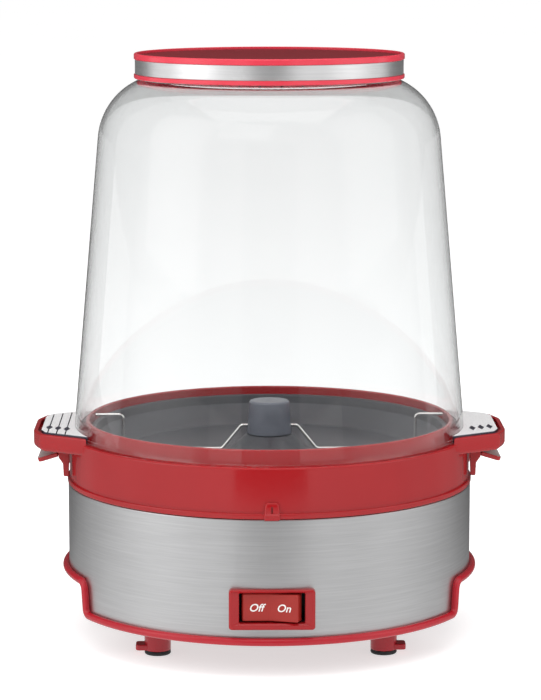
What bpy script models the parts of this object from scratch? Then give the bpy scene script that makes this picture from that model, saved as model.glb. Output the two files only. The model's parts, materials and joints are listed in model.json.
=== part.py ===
"""Popcorn maker, built as an assembly of separate pieces.

Sizes are in millimetres. Meshes are made in metres, +Z up. The origin is on the machine's vertical
axis, on the surface it stands on, and the front of the machine faces -Y.

The machine has five parts that come apart by hand: the base with its motor and heater, the plate
unit (red ring with handles, popping plate, latches), the stirrer, the clear bowl and the lid.
"""

import math

import bmesh
import bpy
from mathutils import Matrix, Vector

# ---------------------------------------------------------------- driving sizes (mm and degrees)

GAP = 0.3                    # clearance between pieces that touch
SEGMENTS = 36                # facets of the large turned pieces
SMALL_SEGMENTS = 12          # facets of pins, posts and shafts
MERGE = 0.003                # points closer than this are one point
HOLE_TURN = 0.1              # radians that keep a hole's corners off the edges it cuts

# Base shell and its bead trim
SHELL_RADIUS = 132.0
SHELL_HEIGHT = 72.9          # lowest edge of the steel to its top
SHELL_WALL = 1.0
SHELL_FLANGE = 7.0           # width of the rim turned in at the top
ARCH_RISE = 20.8             # how far the side arches lift the lower edge
ARCH_START = 61.7            # degrees from the front where an arch begins
ARCH_LEAN = 1.3              # degrees that the arch's end leans over
TRIM_RADIUS = 2.9            # radius of the bead
TRIM_PROUD = 1.5             # bead centre beyond the steel

# Bottom cover and feet
FOOT_HEIGHT = 20.6           # floor to the bottom cover
COVER_WALL = 2.4
FOOT_INSET = 30.0            # foot centres inside the shell radius
FOOT_RADIUS = 8.5
PAD_HEIGHT = 2.5
TAB_HEIGHT = 3.6
TAB_REACH = 5.5
LEG_INSET = 24.3             # chassis legs inside the shell radius
LEG_RADIUS = 4.2
LEG_ANGLE = 68.0             # degrees of the legs from the X axis
SCREW_RADIUS = 1.5
SCREW_HEAD_RADIUS = 3.4
SCREW_HEAD_HEIGHT = 1.8
COVER_SCREW_REACH = 12.0

# Chassis deck, gearbox and motor
DECK_THICKNESS = 1.5
DECK_INSET = 4.0
GEARBOX_WALL = 2.5
GEARBOX_DEPTH = 24.0         # height of the housing
GEARBOX_COVER = 3.0
GEAR_MODULE = 1.25
WHEEL_TEETH = 32
PINION_TEETH = 10
GEAR_BACKLASH = 0.86         # tooth width at the pitch circle, over half the pitch
WHEEL_WIDTH = 6.5
SHAFT_RADIUS = 4.0
JOURNAL_RADIUS = 2.0
RUNNING_GAP = 0.35           # radial clearance of a turning shaft
CORE_WIDTH = 44.0
CORE_HEIGHT = 14.0
CORE_BORE = 9.5
CORE_LEG = 8.0
COIL_DEPTH = 7.0             # winding beyond the core's leg
BRACKET_WALL = 2.0

# Heater
SHIELD_INSET = 24.0
SHIELD_SHEET = 0.8
SHIELD_RIM = 9.0
HEATER_INSET = 37.0
HEATER_THICKNESS = 4.0
HEATER_HOLE = 30.0
ELEMENT_INSET = 62.0
ELEMENT_RADIUS = 2.8
ELEMENT_ENDS = 8.0           # degrees either side of the front

# Switch and cord gland
BEZEL_WIDTH = 53.4
BEZEL_HEIGHT = 27.2
BEZEL_PROUD = 2.8
BEZEL_CORNER = 3.5
SWITCH_RISE = 17.8           # switch centre above the steel's lowest edge
OPENING_WIDTH = 40.4
OPENING_HEIGHT = 18.6
COLLAR_WALL = 1.8
ROCKER_WIDTH = 34.6
ROCKER_MARGIN = 0.6          # gap above and below the rocker
ROCKER_TILT = 7.0            # degrees either side of level
ROCKER_DEPTH = 8.0           # pivot behind the steel
BODY_DEPTH = 20.0
GLAND_BORE = 3.6
GLAND_NECK = 6.0
GLAND_FLANGE = 9.0

# Plate housing: the red ring and its handles
RING_HEIGHT = 31.7           # underside to the ledge that the bowl stands on
RING_WALL = 2.5
RING_INSET = 1.0             # ring wall inside the steel's radius
FOOT_BEAD = 3.5
COLLAR_INSET = 10.5          # collar's foot inside the steel's radius
COLLAR_HEIGHT = 9.4
COLLAR_THICKNESS = 2.6
HANDLE_REACH = 21.4          # handle's end beyond the steel
HANDLE_ROOT = 53.4           # half width at the ring
HANDLE_SHOULDER = 36.0       # half width before the end's corners
HANDLE_END = 20.0            # half width of the flat end
HANDLE_CORNER = 5.5          # depth of the end's corners
HANDLE_UNDER = 7.4           # handle's underside below the ledge
HANDLE_RIM = 3.9             # tray rim above the ledge
TRAY_RIM_WALL = 3.0
RIB_WIDTH = 9.8
RIB_HEIGHT = 10.5
RIB_GROOVE = 1.6

# Popping plate
PLATE_SHEET = 2.2
PLATE_SIDE_GAP = 0.9         # plate rim inside the collar
PLATE_RIM_RISE = 4.2         # rim above the ledge
PLATE_DEPTH = 17.8           # rim to cooking surface
PLATE_STEP = 5.6             # first step down from the rim
PLATE_RIM_WIDTH = 4.4
PLATE_FLOOR_INSET = 17.8     # cooking surface's edge inside the rim
MOUND_RADIUS = 28.0
MOUND_TOP_RADIUS = 15.0
MOUND_HEIGHT = 11.5
GASKET_THICKNESS = 0.8
BUSH_RADIUS = 8.0

# Latches
LATCH_AXIS_REACH = 2.5       # pivot beyond the steel
LATCH_AXIS_DROP = 4.2        # pivot below the handle's underside
LATCH_LENGTH = 17.4
LATCH_HALF_WIDTH = 19.0
LATCH_THICKNESS = 2.8
LATCH_SLOPE = 18.0
BARREL_WALL = 1.4
BARREL_SHORT = 4.5           # barrel's end inside the paddle's side, where the spring sits
ARM_REACH = 5.0              # upright arm beyond the steel
ARM_HALF_WIDTH = 6.0
ARM_THICKNESS = 2.4
PIN_RADIUS = 1.2
PIN_SOCKET = 2.0             # depth of the pin's socket in each ear
EAR_GAP = 2.2                # ear beyond the paddle's side
EAR_THICKNESS = 3.0
EAR_DROP = 18.7              # ear's tip below the handle's underside
SPRING_WIRE = 0.45
SPRING_TURNS = 3

# Stirrer
HUB_FOOT_RADIUS = 15.2
HUB_TOP_RADIUS = 13.0
HUB_HEIGHT = 21.6
HUB_WALL = 2.0
CORE_RADIUS = 9.5
ROD_RADIUS = 1.05
ROD_RISE = 5.4               # rod above the mound where it leaves the hub
ROD_FLOOR_CLEAR = 0.35
ROD_UPRIGHT_INSET = 20.5     # rod's upright inside the plate rim
ROD_TIP_RISE = 6.2           # rod's outer arm above the plate rim
SQUARE = 6.0                 # square end of the stirrer shaft

# Bowl
BOWL_FOOT_INSET = 4.0        # bowl's foot inside the steel's radius
BOWL_WALL = 2.2
BOWL_TAPER = 17.1            # radius lost between foot and shoulder
BOWL_SIDE = 188.7            # foot to the start of the shoulder
SHOULDER_RADIUS = 44.1
SHOULDER_ANGLE = 66.0        # degrees of shoulder arc, from level
NECK_HEIGHT = 9.0
NECK_GAP = 4.4               # neck inside the shoulder's end
LUG_HEIGHT = 4.7
LUG_GAP = 0.4
LUG_ROOF = 1.2               # lug's top over the pocket for the latch's arm
LUG_END_GAP = 2.5            # lug's end inside the handle's tray

# Lid
LID_BEYOND_NECK = 6.9        # lid radius beyond the neck
LID_HEIGHT = 16.2
LID_RIM_LOW = 2.8
LID_RIM_HIGH = 3.8
BAND_RECESS = 0.7
BAND_SHEET = 0.8
LID_SKIRT_WALL = 2.8
LID_TOP_WIDTH = 2.2
LID_RECESS = 1.6
LID_COVER_THICKNESS = 1.9
LID_SHELF = 12.0

# ---------------------------------------------------------------- heights and radii that follow

shell_low = FOOT_HEIGHT + 2 * TRIM_RADIUS + GAP
shell_top = shell_low + SHELL_HEIGHT
shell_inner = SHELL_RADIUS - SHELL_WALL
trim_path_radius = SHELL_RADIUS + TRIM_PROUD
cover_radius = trim_path_radius - TRIM_RADIUS - GAP
deck_top = shell_top - SHELL_WALL - GAP
deck_bottom = deck_top - DECK_THICKNESS

ring_bottom = shell_top + GAP
ledge = ring_bottom + RING_HEIGHT
ring_outer = SHELL_RADIUS - RING_INSET
ring_inner = ring_outer - RING_WALL
collar_outer = SHELL_RADIUS - COLLAR_INSET
collar_inner = collar_outer - COLLAR_THICKNESS - 1.5
handle_bottom = ledge - HANDLE_UNDER
handle_end = SHELL_RADIUS + HANDLE_REACH

plate_radius = collar_inner - PLATE_SIDE_GAP
plate_rim = ledge + PLATE_RIM_RISE
plate_floor = plate_rim - PLATE_DEPTH
plate_floor_radius = plate_radius - PLATE_FLOOR_INSET
plate_step_radius = plate_radius - PLATE_RIM_WIDTH
mound_top = plate_floor + MOUND_HEIGHT
gasket_top = plate_rim - PLATE_SHEET - GAP
shelf_top = gasket_top - GASKET_THICKNESS - GAP
shelf_inner = plate_step_radius + PLATE_SHEET + GAP

wheel_radius = GEAR_MODULE * WHEEL_TEETH / 2
pinion_radius = GEAR_MODULE * PINION_TEETH / 2
gear_distance = wheel_radius + pinion_radius
rotor_y = 2 * gear_distance
housing_top = deck_bottom - GAP
housing_bottom = housing_top - GEARBOX_DEPTH
gearbox_cover_top = housing_bottom - GAP
gearbox_cover_bottom = gearbox_cover_top - GEARBOX_COVER
output_wheel_top = housing_top - GEARBOX_WALL - 1.5
idler_wheel_bottom = housing_bottom + 2.0
bracket_top = gearbox_cover_bottom - GAP
core_top = bracket_top - BRACKET_WALL - GAP
core_bottom = core_top - CORE_HEIGHT
bracket_bottom = core_bottom - GAP - BRACKET_WALL
core_front = rotor_y - CORE_BORE - 2.5
core_rear = core_front + CORE_WIDTH
screw_y = core_front + 5.0
screw_x = 17.0

heater_top = plate_floor - PLATE_SHEET - GAP
heater_bottom = heater_top - HEATER_THICKNESS
heater_radius = SHELL_RADIUS - HEATER_INSET
element_ring = SHELL_RADIUS - ELEMENT_INSET
element_z = heater_bottom - GAP - ELEMENT_RADIUS
shield_bottom = deck_top + GAP
coupling_bottom = deck_top + 1.2
coupling_web = coupling_bottom + 5.0
coupling_top = coupling_bottom + 11.5

switch_z = shell_low + SWITCH_RISE
gland_z = switch_z + 0.7
rocker_pivot_y = -(SHELL_RADIUS - ROCKER_DEPTH)
body_front = -(SHELL_RADIUS - 4.0)
body_rear = body_front + BODY_DEPTH

latch_x = SHELL_RADIUS + LATCH_AXIS_REACH
latch_z = handle_bottom - LATCH_AXIS_DROP
arm_x = SHELL_RADIUS + ARM_REACH
ear_inner = LATCH_HALF_WIDTH + EAR_GAP

hub_bottom = mound_top + GAP
hub_top = hub_bottom + HUB_HEIGHT
rod_z = mound_top + ROD_RISE
hub_core_bottom = hub_bottom + 2.2
shaft_top = hub_core_bottom + 12.0

bowl_foot = ledge + GAP
bowl_radius = SHELL_RADIUS - BOWL_FOOT_INSET
shoulder_start = bowl_foot + BOWL_SIDE
shoulder_outer = bowl_radius - BOWL_TAPER
shoulder_centre = shoulder_outer - SHOULDER_RADIUS
neck_radius = shoulder_centre + SHOULDER_RADIUS * math.cos(math.radians(SHOULDER_ANGLE)) - NECK_GAP
shoulder_end_z = shoulder_start + SHOULDER_RADIUS * math.sin(math.radians(SHOULDER_ANGLE))
neck_top = shoulder_end_z + NECK_HEIGHT

lid_radius = neck_radius + LID_BEYOND_NECK
lid_touch = math.sqrt(SHOULDER_RADIUS ** 2 - (neck_radius + 2.0 - shoulder_centre) ** 2)
lid_bottom = shoulder_start + lid_touch + GAP
lid_top = lid_bottom + LID_HEIGHT


# ---------------------------------------------------------------- mesh tools

def clear_scene():
    for old in list(bpy.data.objects):
        bpy.data.objects.remove(old, do_unlink=True)


def paint(name, colour, roughness=0.5, metallic=0.0):
    """A Principled material of one colour (0 to 1, linear)."""
    material = bpy.data.materials.new(name)
    material.use_nodes = True
    shader = material.node_tree.nodes["Principled BSDF"]
    shader.inputs["Base Color"].default_value = (*colour, 1.0)
    shader.inputs["Roughness"].default_value = roughness
    shader.inputs["Metallic"].default_value = metallic
    material.diffuse_color = (*colour, 1.0)
    return material


FINISHES = {
    "steel": ((0.55, 0.55, 0.54), 0.32, 1.0),
    "red": ((0.43, 0.012, 0.018), 0.3, 0.0),
    "dark_red": ((0.13, 0.008, 0.012), 0.5, 0.0),
    "black": ((0.02, 0.02, 0.022), 0.55, 0.0),
    "rubber": ((0.012, 0.012, 0.013), 0.85, 0.0),
    "phenolic": ((0.045, 0.042, 0.04), 0.6, 0.0),
    "zinc": ((0.5, 0.52, 0.52), 0.4, 1.0),
    "aluminium": ((0.62, 0.62, 0.61), 0.5, 1.0),
    "element": ((0.16, 0.15, 0.14), 0.6, 0.8),
    "iron": ((0.12, 0.12, 0.125), 0.6, 0.7),
    "copper": ((0.6, 0.24, 0.1), 0.4, 1.0),
    "nylon": ((0.75, 0.72, 0.62), 0.45, 0.0),
    "nonstick": ((0.13, 0.14, 0.155), 0.55, 0.2),
    "bright_wire": ((0.75, 0.75, 0.73), 0.2, 1.0),
    "smoke": ((0.08, 0.09, 0.1), 0.15, 0.0),
    "clear": ((0.9, 0.92, 0.92), 0.05, 0.0),
    "silicone": ((0.6, 0.58, 0.55), 0.7, 0.0),
    "wire_cover": ((0.25, 0.25, 0.6), 0.5, 0.0),
}


def finish_object(name, mesh, finish, origin=(0.0, 0.0, 0.0), smooth=True):
    """Give a mesh in millimetres its origin, scale it to metres and make its object."""
    mesh.transform(Matrix.Translation(-Vector(origin)))
    mesh.transform(Matrix.Scale(0.001, 4))
    if smooth:
        mesh.shade_smooth()
        mesh.set_sharp_from_angle(angle=math.radians(30))
    colour, roughness, metallic = FINISHES[finish]
    mesh.materials.clear()
    mesh.materials.append(paint(name, colour, roughness, metallic))
    piece = bpy.data.objects.new(name, mesh)
    piece.location = Vector(origin) * 0.001
    bpy.context.collection.objects.link(piece)
    return piece


def mesh_from(bm):
    bmesh.ops.recalc_face_normals(bm, faces=bm.faces)
    mesh = bpy.data.meshes.new("shape")
    bm.to_mesh(mesh)
    bm.free()
    return mesh


def turned(profile, segments=SEGMENTS, centre=(0.0, 0.0), turn=0.0):
    """Solid made by turning a closed outline of (radius, z) points about a vertical axis."""
    bm = bmesh.new()
    rings = []
    for radius, z in profile:
        if radius < 1e-6:
            rings.append([bm.verts.new((centre[0], centre[1], z))])
            continue
        ring = []
        for step in range(segments):
            angle = turn + 2 * math.pi * step / segments
            ring.append(bm.verts.new((centre[0] + radius * math.cos(angle),
                                      centre[1] + radius * math.sin(angle), z)))
        rings.append(ring)
    for one, two in zip(rings, rings[1:] + rings[:1]):
        if len(one) == 1 and len(two) == 1:
            continue
        for step in range(segments):
            following = (step + 1) % segments
            corners = [one[step % len(one)], one[following % len(one)],
                       two[following % len(two)], two[step % len(two)]]
            bm.faces.new(list(dict.fromkeys(corners)))
    return mesh_from(bm)


def cylinder(radius, low, high, centre=(0.0, 0.0), segments=SMALL_SEGMENTS, turn=0.0):
    return turned([(0, low), (radius, low), (radius, high), (0, high)], segments, centre, turn)


def tube_wall(inner, outer, low, high, segments=SEGMENTS, centre=(0.0, 0.0)):
    return turned([(inner, low), (outer, low), (outer, high), (inner, high)], segments, centre)


def prism(outline, low, high):
    """Solid with a flat outline of (x, y) points between two heights."""
    bm = bmesh.new()
    lower = [bm.verts.new((x, y, low)) for x, y in outline]
    upper = [bm.verts.new((x, y, high)) for x, y in outline]
    bm.faces.new(lower)
    bm.faces.new(upper)
    for index in range(len(outline)):
        after = (index + 1) % len(outline)
        bm.faces.new((lower[index], lower[after], upper[after], upper[index]))
    return mesh_from(bm)


def block(x_low, x_high, y_low, y_high, z_low, z_high):
    outline = [(x_low, y_low), (x_high, y_low), (x_high, y_high), (x_low, y_high)]
    return prism(outline, z_low, z_high)


def turn_about_z(mesh, degrees, centre=(0.0, 0.0, 0.0)):
    rotation = Matrix.Rotation(math.radians(degrees), 4, "Z")
    mesh.transform(Matrix.Translation(centre) @ rotation @ Matrix.Translation(-Vector(centre)))
    return mesh


def mirrored_x(mesh):
    """The mesh's mirror image in the plane x = 0, with its faces still pointing out."""
    copy = mesh.copy()
    copy.transform(Matrix.Scale(-1, 4, (1, 0, 0)))
    copy.flip_normals()
    return copy


def along_y(radius, y_low, y_high, x, z, segments=SMALL_SEGMENTS):
    """Cylinder lying along Y."""
    rod = cylinder(radius, y_low, y_high, (0.0, 0.0), segments)
    rod.transform(Matrix.Rotation(math.radians(-90), 4, "X"))
    rod.transform(Matrix.Translation((x, 0.0, z)))
    return rod


def along_x(radius, x_low, x_high, y, z, segments=SMALL_SEGMENTS):
    """Cylinder lying along X."""
    rod = cylinder(radius, x_low, x_high, (0.0, 0.0), segments)
    rod.transform(Matrix.Rotation(math.radians(90), 4, "Y"))
    rod.transform(Matrix.Translation((0.0, y, z)))
    return rod


def combine(base, tools, operation):
    """The base mesh joined with, or cut by, each tool mesh in turn."""
    holder = bpy.data.objects.new("holder", base)
    bpy.context.collection.objects.link(holder)
    used = [holder]
    for tool in tools:
        helper = bpy.data.objects.new("tool", tool)
        bpy.context.collection.objects.link(helper)
        used.append(helper)
        step = holder.modifiers.new("step", "BOOLEAN")
        step.operation = operation
        step.solver = "EXACT"
        step.object = helper
    bpy.context.view_layer.update()
    depsgraph = bpy.context.evaluated_depsgraph_get()
    result = bpy.data.meshes.new_from_object(holder.evaluated_get(depsgraph))
    for helper in used:
        bpy.data.objects.remove(helper, do_unlink=True)
    return cleaned(result)


def cleaned(mesh):
    """Merge the near-double points that a cut leaves, which are closer than MERGE."""
    bm = bmesh.new()
    bm.from_mesh(mesh)
    bmesh.ops.remove_doubles(bm, verts=bm.verts, dist=MERGE)
    bmesh.ops.dissolve_degenerate(bm, edges=bm.edges, dist=MERGE)
    bm.to_mesh(mesh)
    bm.free()
    return mesh


def cut(base, *tools):
    return combine(base, tools, "DIFFERENCE")


def join(base, *tools):
    return combine(base, tools, "UNION")


def swept(points, radius, sides=8, closed=False):
    """Round bar of one radius along a line of points, with mitred corners."""
    path = [Vector(point) for point in points]
    count = len(path)
    bm = bmesh.new()
    rings = []
    side = None
    for index, point in enumerate(path):
        before = path[index - 1] if index > 0 or closed else point
        after = path[(index + 1) % count] if index < count - 1 or closed else point
        incoming = (point - before).normalized() if before != point else None
        outgoing = (after - point).normalized() if after != point else None
        incoming = incoming or outgoing
        outgoing = outgoing or incoming
        tangent = (incoming + outgoing).normalized()
        stretch = 1.0 / max(0.5, tangent.dot(outgoing))
        if side is None:
            helper = Vector((0, 0, 1)) if abs(tangent.z) < 0.9 else Vector((1, 0, 0))
            side = helper.cross(tangent).normalized()
        side = (side - tangent * side.dot(tangent)).normalized()
        other = tangent.cross(side).normalized()
        bend = outgoing - incoming
        bend_axis = bend.normalized() if bend.length > 1e-6 else None
        ring = []
        for step in range(sides):
            angle = 2 * math.pi * step / sides
            offset = side * math.cos(angle) * radius + other * math.sin(angle) * radius
            if bend_axis is not None:
                offset = offset + bend_axis * offset.dot(bend_axis) * (stretch - 1.0)
            ring.append(bm.verts.new(point + offset))
        rings.append(ring)
    pairs = list(zip(rings, rings[1:]))
    if closed:
        pairs.append((rings[-1], rings[0]))
    for one, two in pairs:
        for step in range(sides):
            following = (step + 1) % sides
            bm.faces.new((one[step], one[following], two[following], two[step]))
    if not closed:
        bm.faces.new(rings[0])
        bm.faces.new(rings[-1])
    return mesh_from(bm)


def rounded(points, radii, steps=3):
    """Line of 2-D points whose inner corners are replaced by arcs of the given radii."""
    result = [points[0]]
    for index in range(1, len(points) - 1):
        corner = Vector(points[index])
        back = Vector(points[index - 1]) - corner
        ahead = Vector(points[index + 1]) - corner
        radius = radii[index - 1]
        half = back.angle(ahead) / 2
        length = radius / math.tan(half)
        start = corner + back.normalized() * length
        end = corner + ahead.normalized() * length
        centre = corner + (back.normalized() + ahead.normalized()).normalized() * (radius / math.sin(half))
        first = start - centre
        sweep = math.atan2(first.x * (end - centre).y - first.y * (end - centre).x,
                           first.dot(end - centre))
        for step in range(steps + 1):
            angle = sweep * step / steps
            turned_arm = Vector((first.x * math.cos(angle) - first.y * math.sin(angle),
                                 first.x * math.sin(angle) + first.y * math.cos(angle)))
            result.append(tuple(centre + turned_arm))
    result.append(points[-1])
    return result


def rounded_rectangle(half_width, half_height, corner, steps=3):
    """Closed outline, counter-clockwise, with round corners."""
    outline = []
    for quarter, (sign_x, sign_y) in enumerate(((1, 1), (-1, 1), (-1, -1), (1, -1))):
        for step in range(steps + 1):
            angle = math.radians(90 * (quarter + step / steps))
            outline.append((sign_x * (half_width - corner) + corner * math.cos(angle),
                            sign_y * (half_height - corner) + corner * math.sin(angle)))
    return outline


# ---------------------------------------------------------------- base: shell, trim, cover, feet

def arch_edge(offset):
    """Lower edge of the base over a quarter turn from the front, as (degrees, z) points.

    The edge runs low, climbs to the arch and runs high to the side. The offset moves it up and
    towards the front, square to itself.
    """
    low = FOOT_HEIGHT + TRIM_RADIUS
    per_degree = math.radians(1) * trim_path_radius
    foot = Vector((ARCH_START * per_degree, low))
    head = Vector(((ARCH_START + ARCH_LEAN) * per_degree, low + ARCH_RISE))
    climb = (head - foot).normalized()
    across = Vector((-climb.y, climb.x))
    shift_low = (offset - offset * across.y) / climb.y
    low_corner = foot + across * offset + climb * shift_low
    high_corner = head + across * offset + climb * shift_low
    line = rounded([(0.0, low + offset), tuple(low_corner), tuple(high_corner),
                    (90.0 * per_degree, low + ARCH_RISE + offset)],
                   [4.8 - offset, 6.0 + offset])
    quarter = [(along / per_degree, z) for along, z in line]
    spacing = 360.0 / SEGMENTS
    run_end = quarter[1][0]
    rise_end = quarter[-2][0]
    low_run = [(spacing * k, quarter[0][1]) for k in range(int(run_end / spacing) + 1)
               if spacing * k < run_end - 0.5]
    high_run = [(spacing * k, quarter[-1][1]) for k in range(int(90 / spacing) + 1)
                if spacing * k > rise_end + 0.5]
    return low_run + quarter[1:-1] + high_run


def full_edge(offset):
    """The lower edge over the whole turn, by mirroring the quarter."""
    quarter = arch_edge(offset)
    half = quarter + [(180.0 - degrees, z) for degrees, z in reversed(quarter[:-1])]
    return half + [(360.0 - degrees, z) for degrees, z in reversed(half[1:-1])]


def around(degrees, radius, z):
    """Point at an angle from the front, counted towards +X."""
    angle = math.radians(degrees)
    return (radius * math.sin(angle), -radius * math.cos(angle), z)


def shell_solid():
    edge = full_edge(TRIM_RADIUS + GAP)
    bm = bmesh.new()
    flange = shell_inner - SHELL_FLANGE
    columns = []
    for degrees, z in edge:
        outline = [(SHELL_RADIUS, z), (SHELL_RADIUS, shell_top), (flange, shell_top),
                   (flange, shell_top - SHELL_WALL), (shell_inner, shell_top - SHELL_WALL),
                   (shell_inner, z)]
        columns.append([bm.verts.new(around(degrees, radius, height)) for radius, height in outline])
    for one, two in zip(columns, columns[1:] + columns[:1]):
        for index in range(len(one)):
            after = (index + 1) % len(one)
            bm.faces.new((one[index], two[index], two[after], one[after]))
    return mesh_from(bm)


def build_shell():
    half_width = OPENING_WIDTH / 2 + COLLAR_WALL + GAP
    half_height = OPENING_HEIGHT / 2 + COLLAR_WALL + GAP
    window = block(-half_width, half_width, -SHELL_RADIUS - 10, -SHELL_RADIUS + 20,
                   switch_z - half_height, switch_z + half_height)
    cord_hole = along_y(GLAND_NECK + GAP, SHELL_RADIUS - 15, SHELL_RADIUS + 10, 0.0, gland_z)
    finish_object("base_shell", cut(shell_solid(), window, cord_hole), "steel")


def build_trim():
    path = [around(degrees, trim_path_radius, z) for degrees, z in full_edge(0.0)]
    finish_object("base_trim", swept(path, TRIM_RADIUS, 6, closed=True), "red")


def build_bottom_cover():
    top = shell_low + ARCH_RISE + 2.5 + COVER_WALL
    floor = FOOT_HEIGHT + COVER_WALL
    side = cover_radius * math.sin(math.radians(ARCH_START)) - 1.6
    far = SHELL_RADIUS * 2
    cover = cylinder(cover_radius, FOOT_HEIGHT, top, segments=SEGMENTS)
    inside_side = side - COVER_WALL
    hollow = cylinder(cover_radius - COVER_WALL, floor, top + 5, segments=SEGMENTS)
    hollow = cut(hollow, block(inside_side, far, -far, far, 0, top + 10),
                 block(-far, -inside_side, -far, far, 0, top + 10))
    shelf_low = top - COVER_WALL
    tools = [hollow,
             block(side, far, -far, far, 0, shelf_low),
             block(-far, -side, -far, far, 0, shelf_low),
             block(-28, 28, -far, far, floor + 6, top + 5)]
    for x, y in leg_places():
        tools.append(cylinder(SCREW_RADIUS + GAP, 0, top, (x, y), 8))
    finish_object("bottom_cover", cut(cover, *tools), "red", smooth=False)


def leg_places():
    reach = SHELL_RADIUS - LEG_INSET
    x = reach * math.cos(math.radians(LEG_ANGLE))
    y = reach * math.sin(math.radians(LEG_ANGLE))
    return [(x, -y), (-x, -y), (x, y), (-x, y)]


CORNERS = [("front_right", 1, -1), ("front_left", -1, -1), ("rear_right", 1, 1), ("rear_left", -1, 1)]


def build_feet():
    reach = (SHELL_RADIUS - FOOT_INSET) * math.sqrt(0.5)
    post_low = PAD_HEIGHT + GAP
    for corner, sign_x, sign_y in CORNERS:
        x = sign_x * reach
        y = sign_y * reach
        post = cylinder(FOOT_RADIUS, post_low, FOOT_HEIGHT - GAP, (x, y))
        near, far = sorted((x + sign_x * 3.0, x + sign_x * (FOOT_RADIUS + TAB_REACH)))
        tab = block(near, far, y - 5.5, y + 5.5, post_low + 0.4, post_low + 0.4 + TAB_HEIGHT)
        finish_object("foot_post_" + corner, join(post, tab), "red")
        pad = turned([(0, 0), (FOOT_RADIUS - 1.0, 0), (FOOT_RADIUS, 1.0), (FOOT_RADIUS, PAD_HEIGHT),
                      (0, PAD_HEIGHT)], SMALL_SEGMENTS, (x, y))
        finish_object("foot_pad_" + corner, pad, "rubber")


def screw(head_low, reach, centre):
    """Pan-head screw standing on its head."""
    outline = [(0, head_low), (SCREW_HEAD_RADIUS - 0.8, head_low), (SCREW_HEAD_RADIUS, head_low + 0.8),
               (SCREW_HEAD_RADIUS, head_low + SCREW_HEAD_HEIGHT),
               (SCREW_RADIUS, head_low + SCREW_HEAD_HEIGHT),
               (SCREW_RADIUS, head_low + SCREW_HEAD_HEIGHT + reach - 1.0),
               (0, head_low + SCREW_HEAD_HEIGHT + reach)]
    return turned(outline, 8, centre)


def build_cover_screws():
    head_low = FOOT_HEIGHT - GAP - SCREW_HEAD_HEIGHT
    for (corner, _, _), place in zip(CORNERS, leg_places()):
        finish_object("cover_screw_" + corner, screw(head_low, COVER_SCREW_REACH, place), "zinc")


# ---------------------------------------------------------------- base: deck, gearbox and motor

def build_deck():
    deck = cylinder(SHELL_RADIUS - DECK_INSET, deck_bottom, deck_top, segments=SEGMENTS)
    leg_low = FOOT_HEIGHT + COVER_WALL + GAP
    legs = [cylinder(LEG_RADIUS, leg_low, deck_bottom + 0.7, place, 12) for place in leg_places()]
    holes = [cylinder(SHAFT_RADIUS + 1.0, deck_bottom - 5, deck_top + 5)]
    for angle in (-ELEMENT_ENDS, ELEMENT_ENDS):
        x, y, _ = around(angle, element_ring, 0)
        holes.append(cylinder(ELEMENT_RADIUS + 1.5, deck_bottom - 5, deck_top + 5, (x, y), 12))
    for place in leg_places():
        holes.append(cylinder(SCREW_RADIUS + GAP, 0, leg_low + COVER_SCREW_REACH + 2, place, 8))
    finish_object("base_deck", cut(join(deck, *legs), *holes), "phenolic")


def gear_outline(teeth, phase):
    """Outline of a spur gear with straight-flanked teeth; one tooth stands at the phase angle."""
    pressure = math.radians(20)
    pitch = GEAR_MODULE * teeth / 2
    base = pitch * math.cos(pressure)
    half_pitch = math.pi / (2 * teeth) * GEAR_BACKLASH
    involute = math.tan(pressure) - pressure

    def half_angle(radius):
        if radius <= base:
            return half_pitch + involute
        slant = math.acos(base / radius)
        return half_pitch + involute - (math.tan(slant) - slant)

    root = pitch - 1.1 * GEAR_MODULE
    tip = pitch + 0.8 * GEAR_MODULE
    outline = []
    for tooth in range(teeth):
        middle = math.radians(phase) + 2 * math.pi * tooth / teeth
        for radius, side in ((root, -1), (tip, -1), (tip, 1), (root, 1)):
            angle = middle + side * half_angle(radius)
            outline.append((radius * math.cos(angle), radius * math.sin(angle)))
    return outline


def gear(teeth, phase, low, high, centre):
    outline = [(x + centre[0], y + centre[1]) for x, y in gear_outline(teeth, phase)]
    return prism(outline, low, high)


def stadium(half_width, y_start, y_end, steps=9):
    """Outline with two round ends, long in Y."""
    outline = []
    for step in range(steps + 1):
        angle = math.radians(180 + 180 * step / steps)
        outline.append((half_width * math.cos(angle), y_start + half_width * math.sin(angle)))
    for step in range(steps + 1):
        angle = math.radians(180 * step / steps)
        outline.append((half_width * math.cos(angle), y_end + half_width * math.sin(angle)))
    return outline


def build_gearbox():
    inner = wheel_radius + GEAR_MODULE + 1.5
    outer = inner + GEARBOX_WALL
    y_end = rotor_y + pinion_radius + GEAR_MODULE + 1.5 - inner
    housing = prism(stadium(outer, 0, y_end), housing_bottom, housing_top)
    inside = prism(stadium(inner, 0, y_end), housing_bottom - 5, housing_top - GEARBOX_WALL)
    output_hole = cylinder(SHAFT_RADIUS + RUNNING_GAP, housing_bottom, housing_top + 5)
    idler_hole = cylinder(JOURNAL_RADIUS + RUNNING_GAP, housing_bottom, housing_top + 5,
                          (0, gear_distance), 12)
    finish_object("gearbox_housing", cut(housing, inside, output_hole, idler_hole), "nylon")

    cover = prism(stadium(outer, 0, y_end), gearbox_cover_bottom, gearbox_cover_top)
    low, high = gearbox_cover_bottom - 5, gearbox_cover_top + 5
    holes = [cylinder(JOURNAL_RADIUS + RUNNING_GAP, low, high, (0, y), 12) for y in (0, gear_distance)]
    holes.append(cylinder(pinion_radius + GEAR_MODULE + 0.5, low, high, (0, rotor_y), 16))
    for x in (-screw_x, screw_x):
        holes.append(cylinder(SCREW_RADIUS + GAP, low, high, (x, screw_y), 10))
    finish_object("gearbox_cover", cut(cover, *holes), "nylon")


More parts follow.
